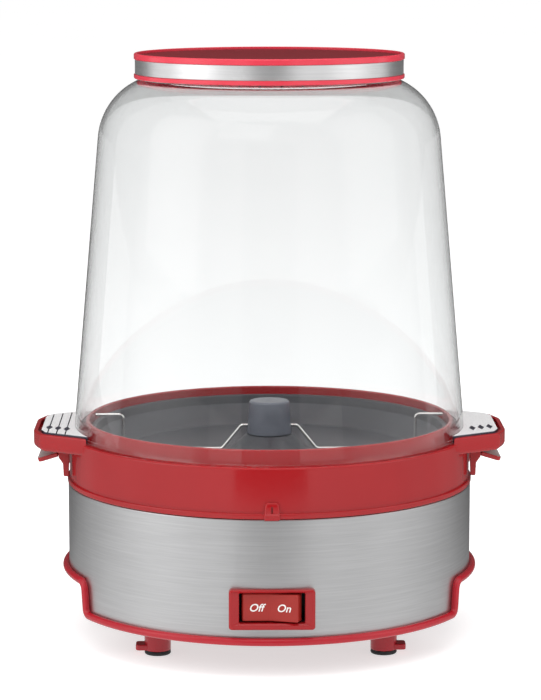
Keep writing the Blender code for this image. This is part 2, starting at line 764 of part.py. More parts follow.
def build_drive_train():
    journal_low = gearbox_cover_bottom + GAP
    shaft_low = gearbox_cover_top + GAP
    wheel = gear(WHEEL_TEETH, 90 + 180 / WHEEL_TEETH, output_wheel_top - WHEEL_WIDTH,
                 output_wheel_top, (0, 0))
    shaft = turned([(0, journal_low), (JOURNAL_RADIUS, journal_low), (JOURNAL_RADIUS, shaft_low),
                    (SHAFT_RADIUS, shaft_low), (SHAFT_RADIUS, coupling_web - GAP),
                    (0, coupling_web - GAP)], SMALL_SEGMENTS)
    finish_object("drive_shaft", join(wheel, shaft), "zinc")

    idler = gear(WHEEL_TEETH, 90, idler_wheel_bottom, idler_wheel_bottom + WHEEL_WIDTH,
                 (0, gear_distance))
    pinion = gear(PINION_TEETH, -90, idler_wheel_bottom + WHEEL_WIDTH - 0.5, output_wheel_top + 0.5,
                  (0, gear_distance))
    axle = turned([(0, journal_low), (JOURNAL_RADIUS, journal_low),
                   (JOURNAL_RADIUS, housing_top - GAP), (0, housing_top - GAP)], 12,
                  (0, gear_distance))
    finish_object("gear_1", join(idler, pinion, axle), "nylon", (0, gear_distance, 0))

    rotor_top = core_top - 0.6
    rotor_low = core_bottom + 0.6
    pinion_top = idler_wheel_bottom + WHEEL_WIDTH - 0.3
    axle_radius = JOURNAL_RADIUS
    rotor = turned([(0, bracket_bottom - 2), (axle_radius, bracket_bottom - 2),
                    (axle_radius, rotor_low), (CORE_BORE - 0.5, rotor_low),
                    (CORE_BORE - 0.5, rotor_top), (axle_radius, rotor_top),
                    (axle_radius, pinion_top + 0.6), (0, pinion_top + 0.6)], 16, (0, rotor_y))
    pinion = gear(PINION_TEETH, -90 + 180 / PINION_TEETH, idler_wheel_bottom + 0.3, pinion_top,
                  (0, rotor_y))
    finish_object("motor_rotor", join(rotor, pinion), "iron", (0, rotor_y, 0))

    sleeve = turned([(SHAFT_RADIUS + GAP, coupling_bottom), (8.0, coupling_bottom),
                     (8.0, coupling_top), (0, coupling_top), (0, coupling_web),
                     (SHAFT_RADIUS + GAP, coupling_web)], 16)
    half = SQUARE / 2 + GAP + 0.3
    socket = block(-half, half, -half, half, coupling_web + 1.2, coupling_top + 5)
    finish_object("drive_coupling", cut(sleeve, socket), "phenolic")


def build_motor():
    half = CORE_WIDTH / 2
    core = block(-half, half, core_front, core_rear, core_bottom, core_top)
    window_low = rotor_y + CORE_BORE + 4.5
    leg_low = core_rear - CORE_LEG
    low, high = core_bottom - 5, core_top + 5
    coil_half = half - 9.3
    holes = [cylinder(CORE_BORE, low, high, (0, rotor_y), 16),
             block(-coil_half - GAP, coil_half + GAP, window_low, leg_low, low, high)]
    for x in (-screw_x, screw_x):
        holes.append(cylinder(SCREW_RADIUS + GAP, low, high, (x, screw_y), 10))
    finish_object("motor_core", cut(core, *holes), "iron", smooth=False)

    coil = block(-coil_half, coil_half, window_low + 0.8, core_rear + COIL_DEPTH + 1.5,
                 core_bottom - COIL_DEPTH, core_top + COIL_DEPTH)
    leg = block(-half, half, leg_low - GAP, core_rear + GAP, core_bottom - GAP, core_top + GAP)
    finish_object("motor_coil", cut(coil, leg), "copper", smooth=False)

    inner = half + GAP
    outer = inner + BRACKET_WALL
    y_low = core_front + 1.0
    y_high = rotor_y + CORE_BORE
    frame = block(-outer, outer, y_low, y_high, bracket_bottom, bracket_top)
    inside = block(-inner, inner, y_low - 5, y_high + 5, core_bottom - GAP, core_top + GAP)
    holes = [inside, cylinder(JOURNAL_RADIUS + RUNNING_GAP, 0, bracket_top + 5, (0, rotor_y), 12)]
    for x in (-screw_x, screw_x):
        holes.append(cylinder(SCREW_RADIUS + GAP, 0, bracket_top + 5, (x, screw_y), 10))
    finish_object("motor_bracket", cut(frame, *holes), "zinc", smooth=False)

    head_low = bracket_bottom - GAP - SCREW_HEAD_HEIGHT
    reach = gearbox_cover_top - 0.2 - head_low - SCREW_HEAD_HEIGHT
    for side, x in (("left", -screw_x), ("right", screw_x)):
        finish_object("motor_screw_" + side, screw(head_low, reach, (x, screw_y)), "zinc")


# ---------------------------------------------------------------- base: heater

def boss_places():
    reach = heater_radius - 12.0
    return [around(degrees, reach, 0.0)[:2] for degrees in (60.0, 180.0, 300.0)]


def build_heater():
    radius = SHELL_RADIUS - SHIELD_INSET
    rim = shield_bottom + SHIELD_RIM
    shield = turned([(14.0, shield_bottom), (radius, shield_bottom), (radius, rim),
                     (radius - SHIELD_SHEET, rim), (radius - SHIELD_SHEET, shield_bottom + SHIELD_SHEET),
                     (14.0, shield_bottom + SHIELD_SHEET)], 32)
    low, high = shield_bottom - 5, shield_bottom + 5
    holes = [cylinder(5.0, low, high, place, 12, HOLE_TURN) for place in boss_places()]
    for angle in (-ELEMENT_ENDS, ELEMENT_ENDS):
        x, y, _ = around(angle, element_ring, 0)
        holes.append(cylinder(ELEMENT_RADIUS + 1.5, low, high, (x, y), 12, HOLE_TURN))
    finish_object("heat_shield", cut(shield, *holes), "aluminium")

    disc = tube_wall(HEATER_HOLE, heater_radius, heater_bottom, heater_top)
    bosses = [cylinder(4.0, deck_top + GAP, heater_bottom + 1.5, place, 12) for place in boss_places()]
    finish_object("heater_plate", join(disc, *bosses), "aluminium")

    bend = 2 * ELEMENT_RADIUS
    start = ELEMENT_ENDS
    path = [around(start, element_ring, deck_bottom - 6.0),
            around(start, element_ring, element_z - bend)]
    bend_degrees = math.degrees(bend / element_ring)
    for step in range(1, 4):
        angle = math.radians(90 * step / 4)
        path.append(around(start + bend_degrees * (1 - math.cos(angle)), element_ring,
                           element_z - bend + bend * math.sin(angle)))
    first = start + bend_degrees
    count = 24
    for step in range(count + 1):
        path.append(around(first + (360 - 2 * first) * step / count, element_ring, element_z))
    path += [(-x, y, z) for x, y, z in reversed(path[:5])]
    finish_object("heating_element", swept(path, ELEMENT_RADIUS, 6), "element")

    reach = element_ring - 14.0
    thermostat = turned([(0, heater_bottom - GAP - 5.5), (5.0, heater_bottom - GAP - 5.5),
                         (7.0, heater_bottom - GAP - 3.5), (7.0, heater_bottom - GAP),
                         (0, heater_bottom - GAP)], SMALL_SEGMENTS, (reach, 0))
    finish_object("thermostat", thermostat, "zinc")
    fuse = along_y(1.8, -9.0, 9.0, -reach, heater_bottom - GAP - 1.8, 10)
    finish_object("thermal_fuse", fuse, "zinc")


# ---------------------------------------------------------------- base: switch, gland and wires

def upright(outline, y_low, y_high):
    """Solid whose outline of (x, z) points is drawn on a plane facing the front."""
    solid = prism(outline, y_low, y_high)
    solid.transform(Matrix(((1, 0, 0, 0), (0, 0, 1, 0), (0, 1, 0, 0), (0, 0, 0, 1))))
    solid.flip_normals()
    return solid


def raised(outline, z):
    return [(x, height + z) for x, height in outline]


def build_switch():
    frame_outline = rounded_rectangle(BEZEL_WIDTH / 2, BEZEL_HEIGHT / 2, BEZEL_CORNER)
    front = -(SHELL_RADIUS + BEZEL_PROUD)
    frame = upright(raised(frame_outline, switch_z), front, -(SHELL_RADIUS - 8.0))
    frame = cut(frame, cylinder(SHELL_RADIUS + GAP, 0, shell_top + 20, segments=SEGMENTS))
    half_width = OPENING_WIDTH / 2
    half_height = OPENING_HEIGHT / 2
    wall = COLLAR_WALL
    neck = block(-half_width - wall, half_width + wall, front + 1.0, body_front - GAP,
                 switch_z - half_height - wall, switch_z + half_height + wall)
    hole = upright(raised(rounded_rectangle(half_width, half_height, 2.0), switch_z),
                   front - 10, body_front + 5)
    finish_object("switch_bezel", cut(join(frame, neck), hole), "red")

    body = block(-half_width - wall, half_width + wall, body_front, body_rear,
                 switch_z - half_height - wall, switch_z + half_height + wall)
    pocket = block(-half_width, half_width, body_front - 5, body_rear - 4.0,
                   switch_z - half_height, switch_z + half_height)
    bearing = cylinder(1.4 + RUNNING_GAP, switch_z - half_height - 1.2, switch_z + half_height + 1.2,
                       (0, rocker_pivot_y), 12)
    finish_object("switch_body", cut(body, pocket, bearing), "black", smooth=False)

    half_rocker = ROCKER_WIDTH / 2
    dip = half_rocker * math.tan(math.radians(ROCKER_TILT))
    crest = -(SHELL_RADIUS - 0.4)
    outline = [(-half_rocker, crest - dip), (0, crest), (half_rocker, crest - dip),
               (half_rocker, crest + 2.5), (half_rocker * 0.55, rocker_pivot_y + 2.4),
               (-half_rocker * 0.55, rocker_pivot_y + 2.4), (-half_rocker, crest + 2.5)]
    low = switch_z - half_height + ROCKER_MARGIN
    high = switch_z + half_height - ROCKER_MARGIN
    rocker = join(prism(outline, low, high),
                  cylinder(1.4, low - 1.2, high + 1.2, (0, rocker_pivot_y), 12))
    pivot = (0, rocker_pivot_y, switch_z)
    turn_about_z(rocker, -ROCKER_TILT, pivot)
    finish_object("switch_rocker", rocker, "red", pivot)


def build_gland():
    outside = SHELL_RADIUS + 0.4
    inside = SHELL_RADIUS - 2.1
    profile = [(GLAND_BORE, inside - 2.9), (GLAND_FLANGE - 1.0, inside - 2.9), (GLAND_FLANGE - 1.0, inside),
               (GLAND_NECK, inside), (GLAND_NECK, outside), (GLAND_FLANGE, outside),
               (GLAND_FLANGE - 0.8, outside + 2.8), (GLAND_BORE, outside + 2.8)]
    gland = turned(profile, SMALL_SEGMENTS)
    gland.transform(Matrix.Rotation(math.radians(-90), 4, "X"))
    gland.transform(Matrix.Translation((0, 0, gland_z)))
    finish_object("cord_gland", gland, "rubber")


def build_wires():
    start_y = SHELL_RADIUS - 5.6
    floor = FOOT_HEIGHT + COVER_WALL + 4.0
    rear = body_rear + GAP
    wire = 1.1
    supply = [(-1.8, start_y, gland_z), (-3.5, start_y - 5, gland_z - 2), (-13, start_y - 14, floor + 8),
              (-20, start_y - 26, floor + 2), (-20, start_y - 60, floor), (-20, 0, floor),
              (-20, rear + 45, floor), (-15, rear + 18, floor + 4), (-9, rear + 7, switch_z - 3),
              (-9, rear + 3, switch_z), (-9, rear, switch_z)]
    finish_object("wire_supply", swept(supply, wire, 6), "wire_cover")

    end_x, end_y, _ = around(ELEMENT_ENDS, element_ring, 0)
    drop = deck_bottom - 6.0 - GAP
    heater = [(9, rear, switch_z + 4), (9, rear + 3, switch_z + 4), (end_x, rear + 16, switch_z + 14),
              (end_x, end_y - 3, drop - 14), (end_x, end_y, drop - 5), (end_x, end_y, drop)]
    finish_object("wire_heater", swept(heater, wire, 6), "wire_cover")

    coil_side = CORE_WIDTH / 2 - 9.3 + GAP
    coil_y = core_rear + 3.0
    motor = [(1.8, start_y, gland_z), (3.5, start_y - 5, gland_z - 3), (14, start_y - 13, gland_z - 8),
             (coil_side + 9, coil_y + 10, core_bottom - 12), (coil_side + 8, coil_y + 1, core_bottom - 6),
             (coil_side + 4, coil_y, core_bottom - 4), (coil_side, coil_y, core_bottom - 4)]
    finish_object("wire_motor", swept(motor, wire, 6), "wire_cover")


# ---------------------------------------------------------------- plate unit: ring and handles

def handle_outline(inset, root_x):
    """Plan of the right handle, moved in by an inset, from root_x outwards."""
    shoulder_x = handle_end - HANDLE_CORNER
    corners = [Vector((ring_outer - 11.0, HANDLE_ROOT)), Vector((shoulder_x, HANDLE_SHOULDER)),
               Vector((handle_end, HANDLE_END)), Vector((handle_end, 0.0))]
    moved = []
    for before, after in zip(corners, corners[1:]):
        ahead = (after - before).normalized()
        across = Vector((ahead.y, -ahead.x))
        moved.append((before + across * inset, ahead))
    points = []
    (first, ahead) = moved[0]
    points.append(first + ahead * ((root_x - first.x) / ahead.x))
    for (one, one_ahead), (two, two_ahead) in zip(moved, moved[1:]):
        cross = one_ahead.x * two_ahead.y - one_ahead.y * two_ahead.x
        offset = two - one
        points.append(one + one_ahead * ((offset.x * two_ahead.y - offset.y * two_ahead.x) / cross))
    upper = [(point.x, point.y) for point in points]
    return [(x, -y) for x, y in upper] + list(reversed(upper))


def ring_solid():
    top = ledge + COLLAR_HEIGHT
    profile = [(ring_inner, ring_bottom), (SHELL_RADIUS + 0.5, ring_bottom),
               (SHELL_RADIUS + 0.5, ring_bottom + FOOT_BEAD - 0.8), (ring_outer, ring_bottom + FOOT_BEAD),
               (ring_outer, ledge - 0.8), (ring_outer - 0.8, ledge), (collar_outer, ledge),
               (collar_outer - 1.2, top - 1.8), (collar_outer - 2.2, top), (collar_inner + 0.8, top),
               (collar_inner, top - 1.2), (collar_inner, shelf_top), (shelf_inner, shelf_top),
               (shelf_inner, shelf_top - 2.6), (ring_inner - 6.0, shelf_top - 4.2),
               (ring_inner, shelf_top - 7.0)]
    return turned(profile)


def ear_block(y_low, y_high):
    """One ear that holds the latch pin, tapering towards its lower end."""
    top = handle_bottom + 1.5
    low = handle_bottom - EAR_DROP
    outline = [(latch_x - 4.2, top), (latch_x + 2.6, top), (latch_x + 2.6, latch_z - 2.0),
               (latch_x - 0.2, latch_z - 6.0), (latch_x - 0.6, low), (latch_x - 3.8, low),
               (latch_x - 4.2, latch_z - 6.0)]
    solid = prism(outline, y_low, y_high)
    solid.transform(Matrix(((1, 0, 0, 0), (0, 0, 1, 0), (0, 1, 0, 0), (0, 0, 0, 1))))
    solid.flip_normals()
    return solid


def build_plate_housing():
    ring = ring_solid()
    rim_top = ledge + HANDLE_RIM
    blocks = []
    for side in (1, -1):
        handle = prism(handle_outline(0.0, ring_inner - 30.0), handle_bottom, rim_top)
        recess = prism(handle_outline(TRAY_RIM_WALL, ring_inner - 40.0), ledge, rim_top + 20)
        clear = cylinder(ring_inner + 1.2, handle_bottom - 20, rim_top + 20, segments=SEGMENTS)
        slot = block(SHELL_RADIUS - 0.2, arm_x + ARM_THICKNESS / 2 + 1.0, -ARM_HALF_WIDTH - 0.8,
                     ARM_HALF_WIDTH + 0.8, handle_bottom - 5, rim_top + 20)
        handle = cut(handle, recess, clear, slot)
        socket_end = ear_inner + PIN_SOCKET
        pin_hole = along_y(PIN_RADIUS + GAP, -socket_end, socket_end, latch_x, latch_z, 12)
        ears = [cut(ear_block(low, low + EAR_THICKNESS), pin_hole)
                for low in (ear_inner, -ear_inner - EAR_THICKNESS)]
        handle = join(handle, *ears)
        blocks.append(handle if side > 0 else mirrored_x(handle))
    rib_half = RIB_WIDTH / 2
    rib_top = ring_bottom + RIB_HEIGHT
    rib = block(-rib_half, rib_half, -(SHELL_RADIUS + 1.4), -(ring_outer - 1.5), ring_bottom, rib_top)
    groove = block(-RIB_GROOVE / 2, RIB_GROOVE / 2, -(SHELL_RADIUS + 5), -(ring_outer + 0.9),
                   ring_bottom + 2.5, rib_top + 5)
    housing = join(ring, blocks[0], blocks[1], cut(rib, groove))
    finish_object("plate_housing", housing, "red")


def build_plate():
    sheet = PLATE_SHEET
    top = [(plate_radius, plate_rim), (plate_step_radius + 1.2, plate_rim),
           (plate_step_radius, plate_rim - PLATE_STEP), (plate_floor_radius + 4.0, plate_floor + 5.0),
           (plate_floor_radius - 1.5, plate_floor), (MOUND_RADIUS, plate_floor),
           (MOUND_TOP_RADIUS, mound_top)]
    hole = BUSH_RADIUS + GAP
    under = [(MOUND_TOP_RADIUS - 1.0, mound_top - sheet), (MOUND_RADIUS - 1.5, plate_floor - sheet),
             (plate_floor_radius + 1.0, plate_floor - sheet), (plate_floor_radius + 6.2, plate_floor + 4.0),
             (plate_step_radius + sheet, plate_rim - PLATE_STEP - 1.2),
             (plate_step_radius + sheet, plate_rim - sheet), (plate_radius, plate_rim - sheet)]
    profile = top + [(hole, mound_top), (hole, mound_top - sheet)] + under
    finish_object("popping_plate", turned(profile), "nonstick")

    gasket = tube_wall(shelf_inner + 0.4, plate_radius, shelf_top + GAP, gasket_top)
    finish_object("plate_gasket", gasket, "silicone")

    bore = SHAFT_RADIUS + RUNNING_GAP
    flange_top = mound_top + GAP + 1.4
    bush = turned([(bore, mound_top - 9.0), (BUSH_RADIUS, mound_top - 9.0), (BUSH_RADIUS, mound_top + GAP),
                   (BUSH_RADIUS + 2.5, mound_top + GAP), (BUSH_RADIUS + 2.5, flange_top),
                   (bore, flange_top)], 16)
    finish_object("shaft_bush", bush, "nylon")


def build_stir_shaft():
    low = coupling_web + 1.2 + GAP
    round_low = coupling_top + 1.0
    round_high = hub_core_bottom - GAP
    half = SQUARE / 2
    shaft = cylinder(SHAFT_RADIUS, round_low, round_high)
    foot = block(-half, half, -half, half, low, round_low + 0.5)
    head = block(-half, half, -half, half, round_high - 0.5, shaft_top)
    finish_object("stir_shaft", join(shaft, foot, head), "bright_wire", smooth=False)


# ---------------------------------------------------------------- plate unit: latches

def latch_solid():
    """Right latch: barrel on the pin, sloping paddle outwards, upright arm through the handle."""
    barrel_half = LATCH_HALF_WIDTH - BARREL_SHORT
    barrel = along_y(PIN_RADIUS + GAP + BARREL_WALL, -barrel_half, barrel_half, latch_x, latch_z)
    slope = math.radians(LATCH_SLOPE)
    half = LATCH_THICKNESS / 2
    root = 2.0
    wide_from = 3.6
    root_half = barrel_half - 1.0
    near_half = LATCH_HALF_WIDTH
    far_half = LATCH_HALF_WIDTH - 2.0
    outline = [(root, -root_half), (wide_from, -root_half), (wide_from, -near_half),
               (LATCH_LENGTH - 3.0, -far_half), (LATCH_LENGTH, -far_half + 4.0),
               (LATCH_LENGTH, far_half - 4.0), (LATCH_LENGTH - 3.0, far_half),
               (wide_from, near_half), (wide_from, root_half), (root, root_half)]
    paddle = prism(outline, -half, half)
    paddle.transform(Matrix.Rotation(slope, 4, "Y"))
    paddle.transform(Matrix.Translation((latch_x, 0, latch_z)))
    arm_top = ledge + 3.0
    arm = block(arm_x - ARM_THICKNESS / 2, arm_x + ARM_THICKNESS / 2, -ARM_HALF_WIDTH,
                ARM_HALF_WIDTH, latch_z - 1.0, arm_top)
    pin_hole = along_y(PIN_RADIUS + GAP, -ear_inner, ear_inner, latch_x, latch_z, 12)
    return cut(join(barrel, paddle, arm), pin_hole)


def latch_spring_solid():
    """Torsion spring wound on the pin beside the barrel, with one leg along the paddle."""
    radius = PIN_RADIUS + GAP + 0.25 + SPRING_WIRE
    y_start = LATCH_HALF_WIDTH - BARREL_SHORT + 0.8
    pitch = 2 * SPRING_WIRE + 0.25
    per_turn = 7
    points = []
    for step in range(SPRING_TURNS * per_turn + 1):
        angle = 2 * math.pi * step / per_turn
        points.append((latch_x + radius * math.cos(angle), y_start + pitch * step / per_turn,
                       latch_z + radius * math.sin(angle)))
    last = points[-1]
    points.append((last[0], last[1] + 0.1, last[2] + 1.8))
    return swept(points, SPRING_WIRE, 4)


def build_latches():
    pin_half = ear_inner + PIN_SOCKET - GAP
    pin = along_y(PIN_RADIUS, -pin_half, pin_half, latch_x, latch_z, 12)
    pieces = (("latch", latch_solid(), "red"), ("latch_pin", pin, "bright_wire"),
              ("latch_spring", latch_spring_solid(), "bright_wire"))
    for name, solid, finish in pieces:
        mirror = mirrored_x(solid)
        finish_object(name + "_right", solid, finish, (latch_x, 0, latch_z))
        finish_object(name + "_left", mirror, finish, (-latch_x, 0, latch_z))


# ---------------------------------------------------------------- stirrer

def build_stirrer():
    half = SQUARE / 2 + GAP
    core_top_z = hub_top - HUB_WALL - GAP
    core = cylinder(CORE_RADIUS, hub_core_bottom, core_top_z, segments=16)
    socket = block(-half, half, -half, half, hub_core_bottom - 5, shaft_top + GAP)
    rod_hole = along_x(ROD_RADIUS + GAP, -CORE_RADIUS - 5, CORE_RADIUS + 5, 0, rod_z, 8)
    finish_object("hub_core", cut(core, socket, rod_hole), "black")

    wall = HUB_WALL
    round_edge = 3.0
    slope = (HUB_FOOT_RADIUS - HUB_TOP_RADIUS) / HUB_HEIGHT
    cap = turned([(0, hub_top), (HUB_TOP_RADIUS - round_edge, hub_top),
                  (HUB_TOP_RADIUS - 0.9, hub_top - 0.9),
                  (HUB_TOP_RADIUS + slope * round_edge, hub_top - round_edge),
                  (HUB_FOOT_RADIUS, hub_bottom), (HUB_FOOT_RADIUS - wall, hub_bottom),
                  (HUB_TOP_RADIUS - wall, hub_top - wall), (0, hub_top - wall)], 20)
    slot = block(-30, 30, -ROD_RADIUS - 0.5, ROD_RADIUS + 0.5, hub_bottom - 5, rod_z + ROD_RADIUS + 0.5)
    finish_object("hub_cap", cut(cap, slot), "smoke")

    floor_z = plate_floor + ROD_RADIUS + ROD_FLOOR_CLEAR
    upright_x = plate_radius - ROD_UPRIGHT_INSET
    tip_z = plate_rim + ROD_TIP_RISE
    line = [(SQUARE / 2 + 1.2, rod_z), (HUB_FOOT_RADIUS + 3.3, rod_z), (MOUND_RADIUS + 3.0, floor_z),
            (upright_x, floor_z), (upright_x, tip_z), (plate_radius - 2.5, tip_z)]
    bent = rounded(line, [2.5, 3.0, 2.6, 2.6], 3)
    rod = swept([(x, 0.0, z) for x, z in bent], ROD_RADIUS, 6)
    mirror = mirrored_x(rod)
    finish_object("stir_rod_right", rod, "bright_wire")
    finish_object("stir_rod_left", mirror, "bright_wire")


# ---------------------------------------------------------------- bowl and lid

def arc_points(start_degrees, end_degrees, radius, steps):
    points = []
    for step in range(steps + 1):
        angle = math.radians(start_degrees + (end_degrees - start_degrees) * step / steps)
        points.append((shoulder_centre + radius * math.cos(angle), shoulder_start + radius * math.sin(angle)))
    return points


def build_bowl():
    wall = BOWL_WALL
    foot_lip = 3.0
    outer = [(bowl_radius, bowl_foot), (bowl_radius - 0.4, bowl_foot + foot_lip)]
    outer += arc_points(4, SHOULDER_ANGLE, SHOULDER_RADIUS, 4)
    outer += [(neck_radius, shoulder_end_z + 1.6), (neck_radius, neck_top)]
    inner = [(neck_radius - wall, neck_top), (neck_radius - wall, shoulder_end_z - 0.6)]
    inner += list(reversed(arc_points(4, SHOULDER_ANGLE, SHOULDER_RADIUS - wall, 4)))
    inner += [(bowl_radius - wall - 0.4, bowl_foot + foot_lip), (bowl_radius - wall, bowl_foot)]
    bowl = turned(outer + inner)
    lugs = []
    for side in (1, -1):
        outline = handle_outline(TRAY_RIM_WALL + LUG_GAP, bowl_radius - 12.0)
        lug = prism(outline, bowl_foot + 0.1, bowl_foot + LUG_HEIGHT)
        clear = cylinder(bowl_radius - 1.0, bowl_foot - 10, bowl_foot + 20, segments=SEGMENTS)
        pocket = block(SHELL_RADIUS - 0.8, arm_x + ARM_THICKNESS / 2 + 1.6, -ARM_HALF_WIDTH - 1.2,
                       ARM_HALF_WIDTH + 1.2, bowl_foot - 5, bowl_foot + LUG_HEIGHT - LUG_ROOF)
        lug_end = handle_end - TRAY_RIM_WALL - LUG_END_GAP
        end_clear = block(lug_end, lug_end + 20, -HANDLE_ROOT, HANDLE_ROOT, bowl_foot - 10, bowl_foot + 20)
        lug = cut(lug, clear, pocket, end_clear)
        lugs.append(lug if side > 0 else mirrored_x(lug))
    finish_object("bowl", join(bowl, *lugs), "clear")


def build_lid():
    skirt_inner = lid_radius - LID_SKIRT_WALL - 1.8
    band_low = lid_bottom + LID_RIM_LOW
    band_high = lid_top - LID_RIM_HIGH
    seat = lid_radius - BAND_RECESS - BAND_SHEET - GAP
    cover_low = lid_top - LID_RECESS - LID_COVER_THICKNESS
    top_inner = lid_radius - LID_TOP_WIDTH
    shelf_low = neck_top + 1.6
    ring = turned([(skirt_inner, lid_bottom), (lid_radius, lid_bottom), (lid_radius, band_low),
                   (seat, band_low), (seat, band_high), (lid_radius, band_high),
                   (lid_radius, lid_top), (top_inner, lid_top), (top_inner, cover_low - GAP),
                   (skirt_inner - LID_SHELF, cover_low - GAP), (skirt_inner - LID_SHELF, shelf_low),
                   (skirt_inner, shelf_low)])
    finish_object("lid_ring", ring, "red")
    band = tube_wall(seat + GAP, seat + GAP + BAND_SHEET, band_low + GAP, band_high - GAP)
    finish_object("lid_band", band, "steel")
    cover = turned([(0, cover_low), (top_inner - GAP, cover_low),
                    (top_inner - GAP, cover_low + LID_COVER_THICKNESS - 0.5),
                    (top_inner - GAP - 0.5, cover_low + LID_COVER_THICKNESS),
                    (0, cover_low + LID_COVER_THICKNESS)])
    finish_object("lid_cover", cover, "dark_red")
    seal = tube_wall(neck_radius + GAP, skirt_inner - GAP, lid_bottom + 1.5, lid_bottom + 7.5)
    finish_object("lid_seal", seal, "silicone")


# ---------------------------------------------------------------- the whole machine

def build_all():
    clear_scene()
    build_shell()
    build_trim()
    build_bottom_cover()
    build_feet()
    build_cover_screws()
    build_deck()
    build_gearbox()
    build_drive_train()
    build_motor()
    build_heater()
    build_switch()
    build_gland()
    build_wires()
    build_plate_housing()
    build_plate()
    build_stir_shaft()
    build_latches()
    build_stirrer()
    build_bowl()
    build_lid()


build_all()
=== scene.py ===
"""Popcorn maker: the finished surface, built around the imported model.

Sizes are in millimetres unless a line says otherwise, and each piece is scaled to metres as it is
placed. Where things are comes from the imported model's boxes. The front of the machine faces -Y.
"""

import json
import math

import bmesh
import bpy
from mathutils import Matrix, Vector


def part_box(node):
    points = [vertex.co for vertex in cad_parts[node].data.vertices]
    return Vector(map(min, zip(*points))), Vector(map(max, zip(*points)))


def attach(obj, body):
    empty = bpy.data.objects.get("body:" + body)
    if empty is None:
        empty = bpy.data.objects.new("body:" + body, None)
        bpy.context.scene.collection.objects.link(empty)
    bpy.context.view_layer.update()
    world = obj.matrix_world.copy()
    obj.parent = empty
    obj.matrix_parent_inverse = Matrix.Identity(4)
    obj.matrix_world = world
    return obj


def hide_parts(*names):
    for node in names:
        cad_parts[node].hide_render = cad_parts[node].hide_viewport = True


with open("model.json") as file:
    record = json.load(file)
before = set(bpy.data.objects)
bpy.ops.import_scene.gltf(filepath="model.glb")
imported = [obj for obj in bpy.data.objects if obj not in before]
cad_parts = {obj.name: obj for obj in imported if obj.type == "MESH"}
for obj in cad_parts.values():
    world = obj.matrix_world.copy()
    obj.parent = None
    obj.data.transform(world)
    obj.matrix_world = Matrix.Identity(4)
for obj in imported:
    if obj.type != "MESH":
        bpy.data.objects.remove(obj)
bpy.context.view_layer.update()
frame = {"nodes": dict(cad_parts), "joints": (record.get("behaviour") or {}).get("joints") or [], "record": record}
nodes = frame["nodes"]


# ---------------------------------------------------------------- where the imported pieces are

def low(node):
    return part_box(node)[0] * 1000


def high(node):
    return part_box(node)[1] * 1000


def joint_place(name):
    joint = next(j for j in frame["joints"] if j["name"] == name)
    return Vector(joint["pos_m"]) * 1000


TURN_STEPS = 192             # facets of the large turned pieces
BEAD = 2.45                  # radius of the trim bead
TRAY_WALL = 3.0              # width of the handle's rim
STEEL = 1.0                  # thickness of the base's steel
EAR_INNER = 21.2             # half the space between the latch's ears
LUG_END_GAP = 2.5            # lug's end inside the handle's tray
TUCK = 0.8                   # how far the steel tucks into the bead

shell_radius = high("base_shell").x
shell_top = high("base_shell").z
shell_low = low("base_shell").z
bead_radius = high("base_trim").x - BEAD - 0.3
cover_low = low("bottom_cover").z
cover_high = high("bottom_cover").z
cover_radius = high("bottom_cover").x
bead_low = cover_low + BEAD
arch_rise = cover_high - shell_low - 4.9
ring_bottom = low("plate_housing").z
collar_top = high("plate_housing").z
ledge = collar_top - 9.4
handle_end = high("plate_housing").x
handle_bottom = ledge - 7.4
handle_rim = ledge + 3.9
ring_outer = shell_radius - 1.0
ring_inner = ring_outer - 2.5
collar_outer = shell_radius - 10.5
collar_inner = collar_outer - 4.1
plate_radius = high("popping_plate").x
plate_rim = high("popping_plate").z
plate_floor = plate_rim - 17.8
mound_top = plate_floor + 11.5
bowl_foot = low("bowl").z
bowl_top = high("bowl").z
bowl_radius = shell_radius - 4.0
lid_low = low("lid_ring").z
lid_high = high("lid_ring").z
lid_radius = high("lid_ring").x
hub_low = low("hub_cap").z
hub_high = high("hub_cap").z
hub_radius = high("hub_cap").x
rocker_pivot = joint_place("rocker_tilt")
switch_z = rocker_pivot.z
latch_pivot = joint_place("latch_right_squeeze")
foot_places = {name[len("foot_post_"):]: (low(name) + high(name)) / 2
               for name in nodes if name.startswith("foot_post_")}


# ---------------------------------------------------------------- mesh tools

def mesh_from(bm):
    bmesh.ops.recalc_face_normals(bm, faces=bm.faces)
    mesh = bpy.data.meshes.new("shape")
    bm.to_mesh(mesh)
    bm.free()
    return mesh


def fillet(corners, steps=4, closed=True):
    """2-D line whose corners, given as (x, y, radius), are rounded to their radius."""
    line = []
    count = len(corners)
    for index, (x, y, radius) in enumerate(corners):
        corner = Vector((x, y))
        if radius <= 0 or (not closed and index in (0, count - 1)):
            line.append((x, y))
            continue
        back = Vector(corners[index - 1][:2]) - corner
        ahead = Vector(corners[(index + 1) % count][:2]) - corner
        half = back.angle(ahead) / 2
        reach = min(radius / math.tan(half), 0.49 * back.length, 0.49 * ahead.length)
        start = corner + back.normalized() * reach
        end = corner + ahead.normalized() * reach
        middle = (back.normalized() + ahead.normalized()).normalized()
        centre = corner + middle * (reach / math.cos(half))
        first = start - centre
        last = end - centre
        sweep = math.atan2(first.x * last.y - first.y * last.x, first.dot(last))
        for step in range(steps + 1):
            angle = sweep * step / steps
            line.append((centre.x + first.x * math.cos(angle) - first.y * math.sin(angle),
                         centre.y + first.x * math.sin(angle) + first.y * math.cos(angle)))
    return line


def stack(levels, loop=False):
    """Closed skin over rings of points, which all have the same number of points."""
    bm = bmesh.new()
    rings = [[bm.verts.new(point) for point in level] for level in levels]
    pairs = list(zip(rings, rings[1:]))
    if loop:
        pairs.append((rings[-1], rings[0]))
    for one, two in pairs:
        for step in range(len(one)):
            after = (step + 1) % len(one)
            bm.faces.new((one[step], one[after], two[after], two[step]))
    if not loop:
        bm.faces.new(rings[0])
        bm.faces.new(rings[-1])
    return mesh_from(bm)


